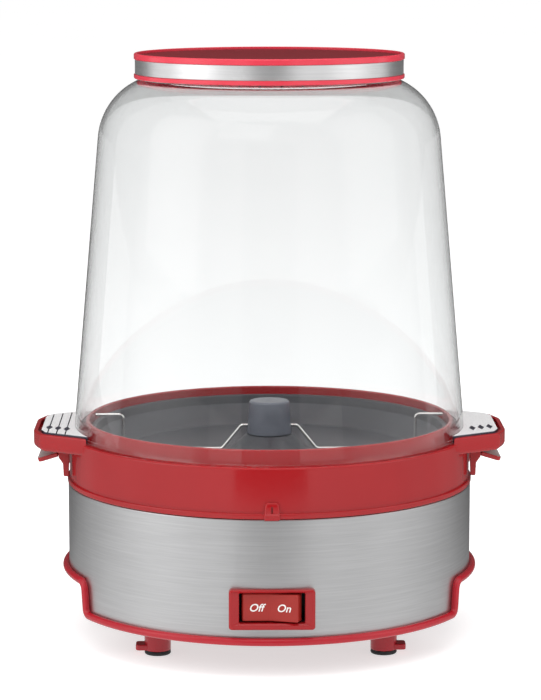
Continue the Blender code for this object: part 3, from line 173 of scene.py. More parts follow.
def turned(profile, segments=TURN_STEPS, centre=(0.0, 0.0)):
    """Solid made by turning a closed outline of (radius, z) points about a vertical axis."""
    bm = bmesh.new()
    rings = []
    for radius, z in profile:
        if radius < 1e-6:
            rings.append([bm.verts.new((centre[0], centre[1], z))])
            continue
        angles = [2 * math.pi * step / segments for step in range(segments)]
        rings.append([bm.verts.new((centre[0] + radius * math.cos(a),
                                    centre[1] + radius * math.sin(a), z)) for a in angles])
    for one, two in zip(rings, rings[1:] + rings[:1]):
        if len(one) == 1 and len(two) == 1:
            continue
        for step in range(segments):
            after = (step + 1) % segments
            corners = [one[step % len(one)], one[after % len(one)],
                       two[after % len(two)], two[step % len(two)]]
            bm.faces.new(list(dict.fromkeys(corners)))
    return mesh_from(bm)


def prism(outline, z_low, z_high):
    return stack([[(x, y, z_low) for x, y in outline], [(x, y, z_high) for x, y in outline]])


def block(x_low, x_high, y_low, y_high, z_low, z_high):
    outline = [(x_low, y_low), (x_high, y_low), (x_high, y_high), (x_low, y_high)]
    return prism(outline, z_low, z_high)


def cylinder(radius, z_low, z_high, centre=(0.0, 0.0), segments=TURN_STEPS):
    return turned([(0, z_low), (radius, z_low), (radius, z_high), (0, z_high)], segments, centre)


def softened(mesh, width, steps=3, angle=30.0):
    """Round every edge that is sharper than the angle."""
    bm = bmesh.new()
    bm.from_mesh(mesh)
    sharp = [edge for edge in bm.edges if edge.calc_face_angle(0.0) > math.radians(angle)]
    bmesh.ops.bevel(bm, geom=sharp, offset=width, segments=steps, profile=0.5,
                    affect="EDGES", clamp_overlap=True)
    bm.to_mesh(mesh)
    bm.free()
    return mesh


def moved(mesh, shift=(0.0, 0.0, 0.0), turn=0.0, axis="Z"):
    mesh.transform(Matrix.Translation(shift) @ Matrix.Rotation(math.radians(turn), 4, axis))
    return mesh


def mirrored_x(mesh):
    copy = mesh.copy()
    copy.transform(Matrix.Scale(-1, 4, (1, 0, 0)))
    copy.flip_normals()
    return copy


def combine(base, tools, operation):
    holder = bpy.data.objects.new("holder", base)
    bpy.context.scene.collection.objects.link(holder)
    used = [holder]
    for tool in tools:
        helper = bpy.data.objects.new("tool", tool)
        bpy.context.scene.collection.objects.link(helper)
        used.append(helper)
        step = holder.modifiers.new("step", "BOOLEAN")
        step.operation = operation
        step.solver = "EXACT"
        step.object = helper
    bpy.context.view_layer.update()
    depsgraph = bpy.context.evaluated_depsgraph_get()
    result = bpy.data.meshes.new_from_object(holder.evaluated_get(depsgraph))
    for helper in used:
        bpy.data.objects.remove(helper, do_unlink=True)
    return result


def cut(base, *tools):
    return combine(base, tools, "DIFFERENCE")


def join(base, *tools):
    return combine(base, tools, "UNION")


def gathered(*meshes):
    """Meshes that don't touch, as one mesh."""
    bm = bmesh.new()
    for mesh in meshes:
        bm.from_mesh(mesh)
    return mesh_from(bm)


def swept(points, radius, sides=16, closed=False):
    """Round bar of one radius along a line of points, with mitred corners."""
    path = [Vector(point) for point in points]
    count = len(path)
    levels = []
    side = None
    for index, point in enumerate(path):
        before = path[index - 1] if index > 0 or closed else None
        after = path[(index + 1) % count] if index < count - 1 or closed else None
        incoming = (point - before).normalized() if before is not None else None
        outgoing = (after - point).normalized() if after is not None else incoming
        incoming = incoming or outgoing
        tangent = (incoming + outgoing).normalized()
        stretch = 1.0 / max(0.5, tangent.dot(outgoing))
        if side is None:
            helper = Vector((0, 0, 1)) if abs(tangent.z) < 0.9 else Vector((1, 0, 0))
            side = helper.cross(tangent).normalized()
        side = (side - tangent * side.dot(tangent)).normalized()
        other = tangent.cross(side).normalized()
        bend = outgoing - incoming
        level = []
        for step in range(sides):
            angle = 2 * math.pi * step / sides
            offset = (side * math.cos(angle) + other * math.sin(angle)) * radius
            if bend.length > 1e-6:
                bend_axis = bend.normalized()
                offset = offset + bend_axis * offset.dot(bend_axis) * (stretch - 1.0)
            level.append(point + offset)
        levels.append(level)
    return stack(levels, loop=closed)


def along_y(mesh, place):
    """Turn a piece made about the vertical axis so that its axis lies along Y."""
    mesh.transform(Matrix.Translation(place) @ Matrix.Rotation(math.radians(-90), 4, "X"))
    return mesh


# ---------------------------------------------------------------- materials

class Paint:
    """A Principled material and the few node chains that give it its detail."""

    def __init__(self, name, colour, roughness, **inputs):
        self.material = bpy.data.materials.new(name)
        self.material.use_nodes = True
        self.tree = self.material.node_tree
        self.shader = self.tree.nodes["Principled BSDF"]
        self.colour = colour
        self.roughness = roughness
        self.height = None
        self.shader.inputs["Base Color"].default_value = (*colour, 1.0)
        self.shader.inputs["Roughness"].default_value = roughness
        for label, value in inputs.items():
            self.shader.inputs[label.replace("_", " ")].default_value = value
        self.material.diffuse_color = (*colour, 1.0)

    def node(self, kind, **settings):
        node = self.tree.nodes.new(kind)
        for label, value in settings.items():
            setattr(node, label, value)
        return node

    def place(self, stretch=(1.0, 1.0, 1.0)):
        coordinates = self.node("ShaderNodeTexCoord")
        mapping = self.node("ShaderNodeMapping")
        mapping.inputs["Scale"].default_value = stretch
        self.tree.links.new(coordinates.outputs["Object"], mapping.inputs["Vector"])
        return mapping.outputs["Vector"]

    def noise(self, scale, stretch=(1.0, 1.0, 1.0), detail=3.0):
        """Noise whose scale is in grains per metre."""
        noise = self.node("ShaderNodeTexNoise")
        noise.inputs["Scale"].default_value = scale
        noise.inputs["Detail"].default_value = detail
        self.tree.links.new(self.place(stretch), noise.inputs["Vector"])
        return noise.outputs["Fac"]

    def bands(self, scale, direction="Z", kind="BANDS"):
        """Even stripes across one axis, or rings about the vertical axis."""
        wave = self.node("ShaderNodeTexWave", wave_type=kind)
        if kind == "BANDS":
            wave.bands_direction = direction
        else:
            wave.rings_direction = direction
        wave.inputs["Scale"].default_value = scale
        wave.inputs["Distortion"].default_value = 0.0
        self.tree.links.new(self.place(), wave.inputs["Vector"])
        return wave.outputs["Fac"]

    def remap(self, value, from_low, from_high, to_low, to_high):
        remap = self.node("ShaderNodeMapRange")
        for index, number in enumerate((from_low, from_high, to_low, to_high), start=1):
            remap.inputs[index].default_value = number
        self.tree.links.new(value, remap.inputs[0])
        return remap.outputs[0]

    def tint(self, value, other, from_low=0.35, from_high=0.65):
        """Blend the colour towards another one where the value is high."""
        mix = self.node("ShaderNodeMix", data_type="RGBA")
        socket = self.shader.inputs["Base Color"]
        if socket.is_linked:
            self.tree.links.new(socket.links[0].from_socket, mix.inputs[6])
        else:
            mix.inputs[6].default_value = (*self.colour, 1.0)
        mix.inputs[7].default_value = (*other, 1.0)
        self.tree.links.new(self.remap(value, from_low, from_high, 0.0, 1.0), mix.inputs[0])
        self.tree.links.new(mix.outputs[2], socket)
        return self

    def vary_gloss(self, value, spread):
        """Let the roughness wander by the spread either way."""
        change = self.remap(value, 0.3, 0.7, self.roughness - spread, self.roughness + spread)
        self.tree.links.new(change, self.shader.inputs["Roughness"])
        return self

    def relief(self, value, depth, strength=1.0):
        """Bump of a depth in metres, on top of any relief already there."""
        bump = self.node("ShaderNodeBump")
        bump.inputs["Distance"].default_value = depth
        bump.inputs["Strength"].default_value = strength
        self.tree.links.new(value, bump.inputs["Height"])
        if self.height is not None:
            self.tree.links.new(self.height, bump.inputs["Normal"])
        self.height = bump.outputs["Normal"]
        self.tree.links.new(self.height, self.shader.inputs["Normal"])
        return self


def shade(colour, factor):
    return tuple(min(1.0, channel * factor) for channel in colour)


def moulded(name, colour, roughness, **inputs):
    """Moulded plastic: slow colour drift, fine gloss variation and a faint orange-peel skin."""
    paint = Paint(name, colour, roughness, **inputs)
    paint.tint(paint.noise(18.0), shade(colour, 0.93))
    paint.vary_gloss(paint.noise(420.0), 0.025)
    paint.relief(paint.noise(650.0, detail=2.0), 0.00003, 0.5)
    return paint


def brushed(name, colour, roughness, along=55.0, across=5200.0, **inputs):
    """Steel brushed level, in streaks that run round the piece."""
    paint = Paint(name, colour, roughness, Metallic=1.0, **inputs)
    streaks = paint.noise(1.0, (along, along, across), 5.0)
    broad = paint.noise(1.0, (along / 3, along / 3, across / 6), 3.0)
    paint.tint(streaks, shade(colour, 0.9), 0.3, 0.7)
    paint.tint(broad, shade(colour, 1.03), 0.45, 0.7)
    paint.vary_gloss(streaks, 0.07)
    paint.relief(streaks, 0.00002, 0.35)
    tangent = paint.node("ShaderNodeTangent", direction_type="RADIAL", axis="Z")
    paint.tree.links.new(tangent.outputs["Tangent"], paint.shader.inputs["Tangent"])
    return paint


RED = (0.345, 0.009, 0.012)
DARK_RED = (0.19, 0.012, 0.018)
STEEL_GREY = (0.60, 0.60, 0.605)
WHITE = (1.0, 1.0, 1.0, 1.0)

red = moulded("red_plastic", RED, 0.13)
bright_red = moulded("red_trim", (0.42, 0.009, 0.020), 0.2)
rocker_red = moulded("rocker_red", (0.36, 0.022, 0.016), 0.4, Specular_IOR_Level=0.35)
lid_red = moulded("lid_red", (0.72, 0.045, 0.075), 0.2)
# Painted shade: a darkened copy of the red plastic for the cover under the base, which also keeps red bounce light
# off the floor's shadow.
chassis_red_painted_shade = moulded("chassis_red_painted_shade", (0.13, 0.006, 0.008), 0.4)
# Painted highlight: pale grey for the latch paddle's upward faces, where light from above falls.
paddle_top_highlight = moulded("paddle_top_highlight", (0.50, 0.46, 0.44), 0.4)
steel = brushed("brushed_steel", STEEL_GREY, 0.36, Anisotropic=0.4, Anisotropic_Rotation=0.25)
lid_metal = brushed("lid_metal", (0.86, 0.86, 0.865), 0.36)

lid_top_red = Paint("lid_top_red", DARK_RED, 0.45, Specular_IOR_Level=0.15)
lid_top_red.tint(lid_top_red.noise(1500.0), shade(DARK_RED, 0.6), 0.45, 0.6)
lid_top_red.relief(lid_top_red.noise(1100.0, detail=2.0), 0.00008, 0.8)

BOWL_GREYING = 34.0          # absorption inside the bowl's plastic, per metre
clear = Paint("clear_plastic", (0.985, 0.99, 0.99), 0.02, Transmission_Weight=1.0, IOR=1.38)
clear.relief(clear.noise(7.0, detail=1.0), 0.0004, 0.003)
clear.tint(clear.noise(5.0), (0.97, 0.98, 0.98))
absorb = clear.node("ShaderNodeVolumeAbsorption")
absorb.inputs["Color"].default_value = (0.0, 0.0, 0.0, 1.0)
absorb.inputs["Density"].default_value = BOWL_GREYING
clear.tree.links.new(absorb.outputs["Volume"], clear.tree.nodes["Material Output"].inputs["Volume"])

# Lug tops: a real fine frosted texture, painted pale as a painted highlight of the light from above.
frosted_highlight = Paint("frosted_painted_highlight", (0.92, 0.92, 0.92), 0.35, Transmission_Weight=0.15, IOR=1.47)
frosted_highlight.relief(frosted_highlight.noise(1300.0, detail=3.0), 0.00025, 1.0)
frosted_highlight.tint(frosted_highlight.noise(900.0), (0.72, 0.72, 0.73), 0.5, 0.62)

lug_edge = Paint("lug_edge", (0.10, 0.105, 0.15), 0.12, Transmission_Weight=0.55, IOR=1.47)
lug_edge.tint(lug_edge.noise(60.0), (0.05, 0.05, 0.09))

smoke = Paint("smoke_plastic", (0.18, 0.195, 0.235), 0.2, Transmission_Weight=0.2, IOR=1.5)
smoke.tint(smoke.noise(90.0), (0.15, 0.165, 0.2))
smoke.vary_gloss(smoke.noise(700.0), 0.04)

NONSTICK = (0.044, 0.046, 0.054)
nonstick = Paint("nonstick", NONSTICK, 0.4, Metallic=0.0)
nonstick.tint(nonstick.noise(1900.0, detail=2.0), shade(NONSTICK, 1.9), 0.56, 0.64)
nonstick.tint(nonstick.noise(14.0), shade(NONSTICK, 0.85))
nonstick.vary_gloss(nonstick.noise(900.0), 0.06)
nonstick.relief(nonstick.noise(1600.0, detail=3.0), 0.00008, 0.7)
nonstick.relief(nonstick.bands(55.0, kind="RINGS"), 0.00005, 0.25)

wire = Paint("bright_wire", (0.86, 0.86, 0.84), 0.2, Metallic=1.0)
wire.tint(wire.noise(1200.0, (1.0, 0.08, 1.0)), (0.74, 0.74, 0.72))
wire.vary_gloss(wire.noise(2400.0), 0.05)

print_white = Paint("print_white", (0.86, 0.86, 0.84), 0.5)
print_white.tint(print_white.noise(2500.0), (0.76, 0.76, 0.74))

black = moulded("black_plastic", (0.018, 0.018, 0.020), 0.42)
stud_black = moulded("stud_plastic", (0.035, 0.032, 0.05), 0.3)

rubber = Paint("rubber", (0.014, 0.014, 0.015), 0.75)
rubber.tint(rubber.noise(300.0), (0.028, 0.028, 0.030))
rubber.relief(rubber.noise(1500.0), 0.0001, 0.7)

phenolic = Paint("phenolic", (0.045, 0.040, 0.036), 0.5)
phenolic.tint(phenolic.noise(800.0), (0.075, 0.066, 0.058), 0.52, 0.66)
phenolic.relief(phenolic.noise(500.0), 0.0001, 0.5)

nylon = moulded("nylon", (0.72, 0.69, 0.60), 0.42, Subsurface_Weight=0.05)
silicone = moulded("silicone", (0.58, 0.56, 0.52), 0.6)

aluminium = Paint("aluminium", (0.60, 0.60, 0.59), 0.42, Metallic=1.0)
aluminium.tint(aluminium.noise(240.0), (0.50, 0.50, 0.49))
aluminium.vary_gloss(aluminium.noise(500.0), 0.09)
aluminium.relief(aluminium.noise(700.0), 0.0001, 0.5)

plated = Paint("plated_steel", (0.56, 0.58, 0.58), 0.34, Metallic=1.0)
plated.tint(plated.noise(160.0), (0.46, 0.48, 0.47))
plated.vary_gloss(plated.noise(600.0), 0.08)

sheath = Paint("element_sheath", (0.16, 0.145, 0.13), 0.5, Metallic=0.7)
sheath.tint(sheath.noise(70.0), (0.11, 0.075, 0.06))
sheath.relief(sheath.noise(900.0), 0.0001, 0.6)

lamination = Paint("lamination", (0.14, 0.14, 0.145), 0.5, Metallic=0.8)
lamination.tint(lamination.bands(320.0), (0.07, 0.07, 0.075))
lamination.relief(lamination.bands(320.0), 0.0002, 0.8)

copper = Paint("copper", (0.55, 0.20, 0.07), 0.3, Metallic=1.0)
copper.tint(copper.bands(450.0), (0.30, 0.09, 0.03))
copper.relief(copper.bands(450.0), 0.0003, 0.9)

sleeve = Paint("wire_cover", (0.20, 0.20, 0.46), 0.6)
sleeve.tint(sleeve.noise(700.0), (0.15, 0.15, 0.38))
sleeve.relief(sleeve.noise(1800.0), 0.0001, 0.6)

SLOT_PAINTS = {"brushed_steel": steel, "red_plastic": red, "rocker_red": rocker_red,
               "dark_red_plastic": lid_top_red, "clear_plastic": clear, "smoke_plastic": smoke,
               "nonstick": nonstick, "bright_wire": wire, "black_plastic": black,
               "phenolic": phenolic, "nylon": nylon, "rubber": rubber, "silicone": silicone,
               "aluminium": aluminium, "plated_steel": plated, "element_sheath": sheath,
               "lamination": lamination, "copper": copper, "wire_cover": sleeve}


def place(name, mesh, paint, body, slot, *replaced, sharp=32.0):
    """Scale a mesh to metres and make it a piece that rides on a body."""
    mesh.transform(Matrix.Scale(0.001, 4))
    mesh.shade_smooth()
    mesh.set_sharp_from_angle(angle=math.radians(sharp))
    mesh.materials.clear()
    mesh.materials.append(paint.material)
    piece = bpy.data.objects.new(name, mesh)
    bpy.context.scene.collection.objects.link(piece)
    weighted = piece.modifiers.new("even_normals", "WEIGHTED_NORMAL")
    weighted.keep_sharp = True
    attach(piece, body)
    if replaced:
        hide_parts(*replaced)
    return piece


def dress_cad_nodes():
    """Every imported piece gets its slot's finish; those that are replaced are hidden later."""
    for entry in frame["record"]["subparts"]:
        node = nodes[entry["node"]]
        node.data.materials.clear()
        node.data.materials.append(SLOT_PAINTS[entry["material_slot"]].material)


# ---------------------------------------------------------------- base

ARCH_START = 61.7            # degrees from the front where the side arch begins
ARCH_LEAN = 1.3              # degrees by which the arch's side leans
WINDOW_HALF = 22.3           # half width of the steel's opening for the switch
WINDOW_RISE = 11.4           # half height of that opening
CORD_HOLE = 6.3              # radius of the steel's hole for the cord
OUTLET_RISE = 0.7            # cord outlet above the switch's middle


def arch_line(offset, spacing=2.5, steps=8):
    """Lower edge of the base over a quarter turn from the front, as (degrees, z) points."""
    per_degree = math.radians(1) * bead_radius
    foot = Vector((ARCH_START * per_degree, bead_low))
    head = Vector(((ARCH_START + ARCH_LEAN) * per_degree, bead_low + arch_rise))
    climb = (head - foot).normalized()
    across = Vector((-climb.y, climb.x))
    shift = (offset - offset * across.y) / climb.y
    low_corner = foot + across * offset + climb * shift
    high_corner = head + across * offset + climb * shift
    line = fillet([(0.0, bead_low + offset, 0), (*low_corner, 4.8 - offset),
                   (*high_corner, 6.0 + offset), (90.0 * per_degree, bead_low + arch_rise + offset, 0)],
                  steps, closed=False)
    quarter = [(along / per_degree, z) for along, z in line]
    low_run = [(spacing * k, quarter[0][1]) for k in range(int(90 / spacing) + 1)
               if spacing * k < quarter[1][0] - 0.3]
    high_run = [(spacing * k, quarter[-1][1]) for k in range(int(90 / spacing) + 1)
                if spacing * k > quarter[-2][0] + 0.3]
    return low_run + quarter[1:-1] + high_run


def full_arch_line(offset):
    quarter = arch_line(offset)
    half = quarter + [(180.0 - degrees, z) for degrees, z in reversed(quarter[:-1])]
    return half + [(360.0 - degrees, z) for degrees, z in reversed(half[1:-1])]


def around(degrees, radius, z):
    """Point at an angle from the front, counted towards +X."""
    angle = math.radians(degrees)
    return (radius * math.sin(angle), -radius * math.cos(angle), z)


def build_steel():
    inner = shell_radius - STEEL
    flange = inner - 7.0
    levels = []
    for degrees, z in full_arch_line(BEAD - TUCK):
        outline = fillet([(shell_radius, z, 0), (shell_radius, shell_top, 0.9),
                          (flange, shell_top, 0), (flange, shell_top - STEEL, 0),
                          (inner, shell_top - STEEL, 0), (inner, z, 0)], 4)
        levels.append([around(degrees, radius, height) for radius, height in outline])
    shell = stack(levels, loop=True)
    window = block(-WINDOW_HALF, WINDOW_HALF, -shell_radius - 10, -shell_radius + 20,
                   switch_z - WINDOW_RISE, switch_z + WINDOW_RISE)
    hole = along_y(cylinder(CORD_HOLE, 0, 30, segments=32), (0, shell_radius - 15, switch_z + OUTLET_RISE))
    place("steel_shell", cut(shell, window, hole), steel, "base", "brushed_steel", "base_shell")


def build_bead():
    path = [around(degrees, bead_radius, z) for degrees, z in full_arch_line(0.0)]
    place("trim_bead", swept(path, BEAD, 20, closed=True), bright_red, "base", "red_plastic", "base_trim")


def build_cover():
    wall = 2.4
    side = cover_radius * math.sin(math.radians(ARCH_START)) - 1.6
    far = shell_radius * 2
    body = turned(fillet([(0, cover_low, 0), (cover_radius, cover_low, 2.0),
                          (cover_radius, cover_high, 0), (0, cover_high, 0)]), 120)
    hollow = cylinder(cover_radius - wall, cover_low + wall, cover_high + 5, segments=120)
    inside = side - wall
    hollow = cut(hollow, block(inside, far, -far, far, 0, cover_high + 10),
                 block(-far, -inside, -far, far, 0, cover_high + 10))
    tools = [hollow, block(side, far, -far, far, 0, cover_high - wall),
             block(-far, -side, -far, far, 0, cover_high - wall),
             block(-28, 28, -far, far, cover_low + wall + 6, cover_high + 5)]
    for name in nodes:
        if name.startswith("cover_screw_"):
            middle = (low(name) + high(name)) / 2
            tools.append(cylinder(1.8, 0, cover_high, (middle.x, middle.y), 16))
    # the cover under the base takes the darkened red: painted shade
    place("chassis_cover", cut(body, *tools), chassis_red_painted_shade, "base", "red_plastic", "bottom_cover")


def build_feet():
    for corner, middle in foot_places.items():
        post_low = low("foot_post_" + corner).z
        post_high = high("foot_post_" + corner).z
        pad_low, pad_end = low("foot_pad_" + corner), high("foot_pad_" + corner)
        radius = (pad_end.x - pad_low.x) / 2
        x, y = (pad_low.x + pad_end.x) / 2, middle.y
        sign = 1 if x > 0 else -1
        post = turned(fillet([(0, post_low, 0), (radius, post_low, 0.6), (radius, post_high, 0),
                              (0, post_high, 0)]), 48, (x, y))
        reach = radius + 5.5
        wrap = fillet([(3.0, -5.5, 0), (reach, -5.5, 2.2), (reach, 5.5, 2.2), (3.0, 5.5, 0)])
        tab = softened(prism(wrap, post_low + 0.2, post_low + 4.0), 0.7)
        tab = moved(tab, (x, y, 0), 0 if sign > 0 else 180)
        place("post_" + corner, join(post, tab), bright_red, "base", "red_plastic", "foot_post_" + corner)
        pad_high = pad_end.z
        groove = pad_high * 0.55
        pad = turned(fillet([(0, 0, 0), (radius - 0.4, 0, 0.9), (radius, groove, 0.3),
                             (radius - 0.5, groove + 0.3, 0), (radius, pad_high, 0.2), (0, pad_high, 0)], 3),
                     48, (x, y))
        place("pad_" + corner, pad, rubber, "base", "rubber", "foot_pad_" + corner)


# ---------------------------------------------------------------- switch and cord outlet

def upright_rectangle(half_width, z_low, z_high, corner, y, steps=6):
    outline = fillet([(half_width, z_low, corner), (half_width, z_high, corner),
                      (-half_width, z_high, corner), (-half_width, z_low, corner)], steps)
    return [(x, y, z) for x, z in outline]


def quarter_steps(radius, steps=4):
    """(inset, drop) along a quarter round from the side to the face."""
    return [(radius * (1 - math.cos(math.radians(90 * k / steps))),
             radius * (1 - math.sin(math.radians(90 * k / steps)))) for k in range(steps + 1)]


def build_bezel():
    half = high("switch_bezel").x
    front = low("switch_bezel").y
    back = front + 6.3
    bottom = low("switch_bezel").z
    top = high("switch_bezel").z - 1.9
    corner = 2.0
    levels = [upright_rectangle(half, bottom, top, corner, back)]
    for inset, drop in quarter_steps(1.2):
        levels.append(upright_rectangle(half - inset, bottom + inset, top - inset,
                                        corner - inset, front + drop))
    opening = 20.3
    opening_low = switch_z - 9.6
    opening_high = switch_z + 9.5
    for lip, drop in ((4.4, 0.0), (3.9, 0.25), (0.6, 1.1), (0.2, 1.4), (0.0, 1.9)):
        levels.append(upright_rectangle(opening + lip, opening_low - lip * 0.25, opening_high + lip * 0.25,
                                        0.8 + lip * 0.1, front + drop))
    levels.append(upright_rectangle(opening, opening_low, opening_high, 0.8, back))
    place("bezel", stack(levels, loop=True), red, "base", "red_plastic", "switch_bezel")


ROCKER_TILT = 7.0            # degrees between the rocker's face and the front, either way


def build_rocker():
    face = 17.2
    dip = face * math.tan(math.radians(ROCKER_TILT))
    crest = -(shell_radius - 0.4)
    outline = fillet([(-face, crest - dip, 1.3), (0, crest, 14.0), (face, crest - dip, 1.3),
                      (18.9, rocker_pivot.y - 3.4, 0.8), (9.5, rocker_pivot.y + 2.4, 1.0),
                      (-9.5, rocker_pivot.y + 2.4, 1.0), (-18.9, rocker_pivot.y - 3.4, 0.8)], 5)
    half = 8.7
    body = softened(prism(outline, switch_z - half, switch_z + half), 0.9, 3, 50.0)
    shift = Matrix.Translation(rocker_pivot)
    lean = shift @ Matrix.Rotation(math.radians(-ROCKER_TILT), 4, "Z") @ shift.inverted()
    body.transform(lean)
    place("rocker", body, rocker_red, "rocker", "rocker_red", "switch_rocker")
    for word, x, turn in (("Off", -8.9, 0.0), ("On", 8.2, -2 * ROCKER_TILT)):
        y = crest - abs(x) * math.tan(math.radians(ROCKER_TILT)) - 0.05
        spot = lean @ Vector((x, y, switch_z - 0.3))
        letters = bpy.data.curves.new("letters_" + word, "FONT")
        letters.body = word
        letters.size = 6.8
        letters.offset = 0.07
        letters.shear = 0.28
        letters.align_x = "CENTER"
        letters.align_y = "CENTER"
        letters.extrude = 0.06
        letters.resolution_u = 4
        holder = bpy.data.objects.new("letters", letters)
        bpy.context.scene.collection.objects.link(holder)
        bpy.context.view_layer.update()
        depsgraph = bpy.context.evaluated_depsgraph_get()
        mesh = bpy.data.meshes.new_from_object(holder.evaluated_get(depsgraph))
        bpy.data.objects.remove(holder, do_unlink=True)
        mesh.transform(Matrix.Translation(spot) @ Matrix.Rotation(math.radians(turn), 4, "Z")
                       @ Matrix.Rotation(math.radians(90), 4, "X"))
        place("mark_" + word, mesh, print_white, "rocker", "rocker_red")


def build_gland():
    flange = (high("cord_gland").x - low("cord_gland").x) / 2
    outside = shell_radius + 0.4
    bore = 3.6
    profile = fillet([(bore, outside - 8.0, 0), (6.0, outside - 8.0, 0), (6.0, outside, 0),
                      (flange, outside, 0.4), (flange - 0.6, outside + 2.8, 1.2),
                      (bore + 1.4, outside + 2.8, 0.4),
                      (bore, outside + 1.6, 0.4)], 4)
    gland = along_y(turned(profile, 48), (0, 0, switch_z + OUTLET_RISE))
    place("gland", gland, rubber, "base", "rubber", "cord_gland")


# ---------------------------------------------------------------- red ring, handles and latches

def handle_plan(inset, root_x, radii=(7.0, 22.0), steps=5):
    """Plan of the right handle, moved in by an inset, from root_x outwards."""
    corners = [Vector((ring_outer - 11.0, 53.4)), Vector((handle_end - 5.5, 36.0)),
               Vector((handle_end, 20.0)), Vector((handle_end, 0.0))]
    lines = []
    for before, after in zip(corners, corners[1:]):
        ahead = (after - before).normalized()
        lines.append((before + Vector((ahead.y, -ahead.x)) * inset, ahead))
    first, ahead = lines[0]
    points = [first + ahead * ((root_x - first.x) / ahead.x)]
    for (one, one_ahead), (two, two_ahead) in zip(lines, lines[1:]):
        cross = one_ahead.x * two_ahead.y - one_ahead.y * two_ahead.x
        offset = two - one
        points.append(one + one_ahead * ((offset.x * two_ahead.y - offset.y * two_ahead.x) / cross))
    rounds = [0.0] + [max(0.4, radius - inset) for radius in radii]
    upper = [(point.x, point.y, radius) for point, radius in zip(points, rounds)]
    return fillet([(x, -y, radius) for x, y, radius in upper] + list(reversed(upper)), steps)


def level(outline, z):
    return [(x, y, z) for x, y in outline]


def build_housing():
    foot = shell_radius + 0.5
    shelf_top = plate_rim - 2.2 - 0.3 - 0.8 - 0.3
    shelf_inner = plate_radius - 4.4 + 2.2 + 0.3
    ring = turned(fillet([
        (ring_inner, ring_bottom, 0.4), (foot, ring_bottom, 0.9), (foot, ring_bottom + 3.5, 1.3),
        (ring_outer, ring_bottom + 3.5, 0.3), (ring_outer, ledge, 1.2), (collar_outer, ledge, 0.7),
        (collar_outer - 1.4, collar_top, 1.0), (collar_inner + 0.2, collar_top, 1.0),
        (collar_inner, shelf_top, 0), (shelf_inner, shelf_top, 0), (shelf_inner, shelf_top - 2.6, 0.5),
        (ring_inner - 6.0, shelf_top - 4.2, 0.8), (ring_inner, shelf_top - 7.0, 1.5)], 5))
    root = ring_inner - 30.0
    clear_cut = cylinder(ring_inner + 1.2, handle_bottom - 20, handle_rim + 20)
    arm_half = 6.8
    levels = []
    for inset, drop in quarter_steps(3.4, 5):
        levels.append(level(handle_plan(inset, root), handle_bottom + drop))
    levels.reverse()
    for inset, drop in quarter_steps(0.8, 3):
        levels.append(level(handle_plan(inset, root), handle_rim - drop))
    handle = stack(levels)
    recess_levels = [level(handle_plan(TRAY_WALL, root - 10), ledge),
                     level(handle_plan(TRAY_WALL, root - 10), handle_rim - 0.7),
                     level(handle_plan(TRAY_WALL - 0.2, root - 10), handle_rim - 0.25),
                     level(handle_plan(TRAY_WALL - 0.7, root - 10), handle_rim),
                     level(handle_plan(TRAY_WALL - 0.8, root - 10), handle_rim + 5.0)]
    recess = stack(recess_levels)
    slot = block(shell_radius - 0.2, shell_radius + 7.2, -arm_half, arm_half,
                 handle_bottom - 5, handle_rim + 20)
    handle = cut(handle, recess, clear_cut, slot)
    ears = []
    for y_low in (EAR_INNER, -EAR_INNER - 3.0):
        x, z = latch_pivot.x, latch_pivot.z
        tip = handle_bottom - 18.7
        outline = fillet([(x - 4.2, handle_bottom + 1.5, 0), (x + 2.6, handle_bottom + 1.5, 0),
                          (x + 2.6, z - 2.0, 1.5), (x - 0.2, z - 6.0, 2.0), (x - 0.6, tip, 0.8),
                          (x - 3.8, tip, 0.8), (x - 4.2, z - 6.0, 0)])
        ear = softened(prism(outline, 0, 3.0), 0.4, 2, 40.0)
        ear.transform(Matrix.Translation((0, y_low, 0))
                      @ Matrix(((1, 0, 0, 0), (0, 0, 1, 0), (0, 1, 0, 0), (0, 0, 0, 1))))
        ear.flip_normals()
        socket = EAR_INNER + 2.0
        pin_hole = along_y(cylinder(1.5, -socket, socket, segments=24), (x, 0, z))
        ears.append(cut(ear, pin_hole))
    handle = join(handle, *ears)
    rib_low, rib_top = ring_bottom - 0.5, ring_bottom + 10.5
    face, back = -(shell_radius + 2.0), -(ring_outer - 1.5)
    levels = []
    for z, half, forward in ((rib_low, 4.6, 0.9), (rib_low + 0.7, 5.1, 0.2), (rib_low + 3.2, 5.1, 0.0),
                             (rib_low + 4.2, 4.9, 0.9), (rib_top - 2.6, 4.5, 1.2), (rib_top - 0.8, 4.1, 1.5),
                             (rib_top, 3.3, 2.2)):
        outline = fillet([(-half, back, 0), (-half, face + forward, 1.4), (half, face + forward, 1.4),
                          (half, back, 0)], 5)
        levels.append([(x, y, z) for x, y in outline])
    rib = stack(levels)
    groove = softened(block(-0.55, 0.55, -(shell_radius + 5), -(ring_outer + 0.4),
                            ring_bottom + 3.9, rib_top - 2.4), 0.2, 2)
    housing = join(ring, handle, mirrored_x(handle), cut(rib, groove))
    place("ring_and_handles", housing, red, "plate_unit", "red_plastic", "plate_housing")


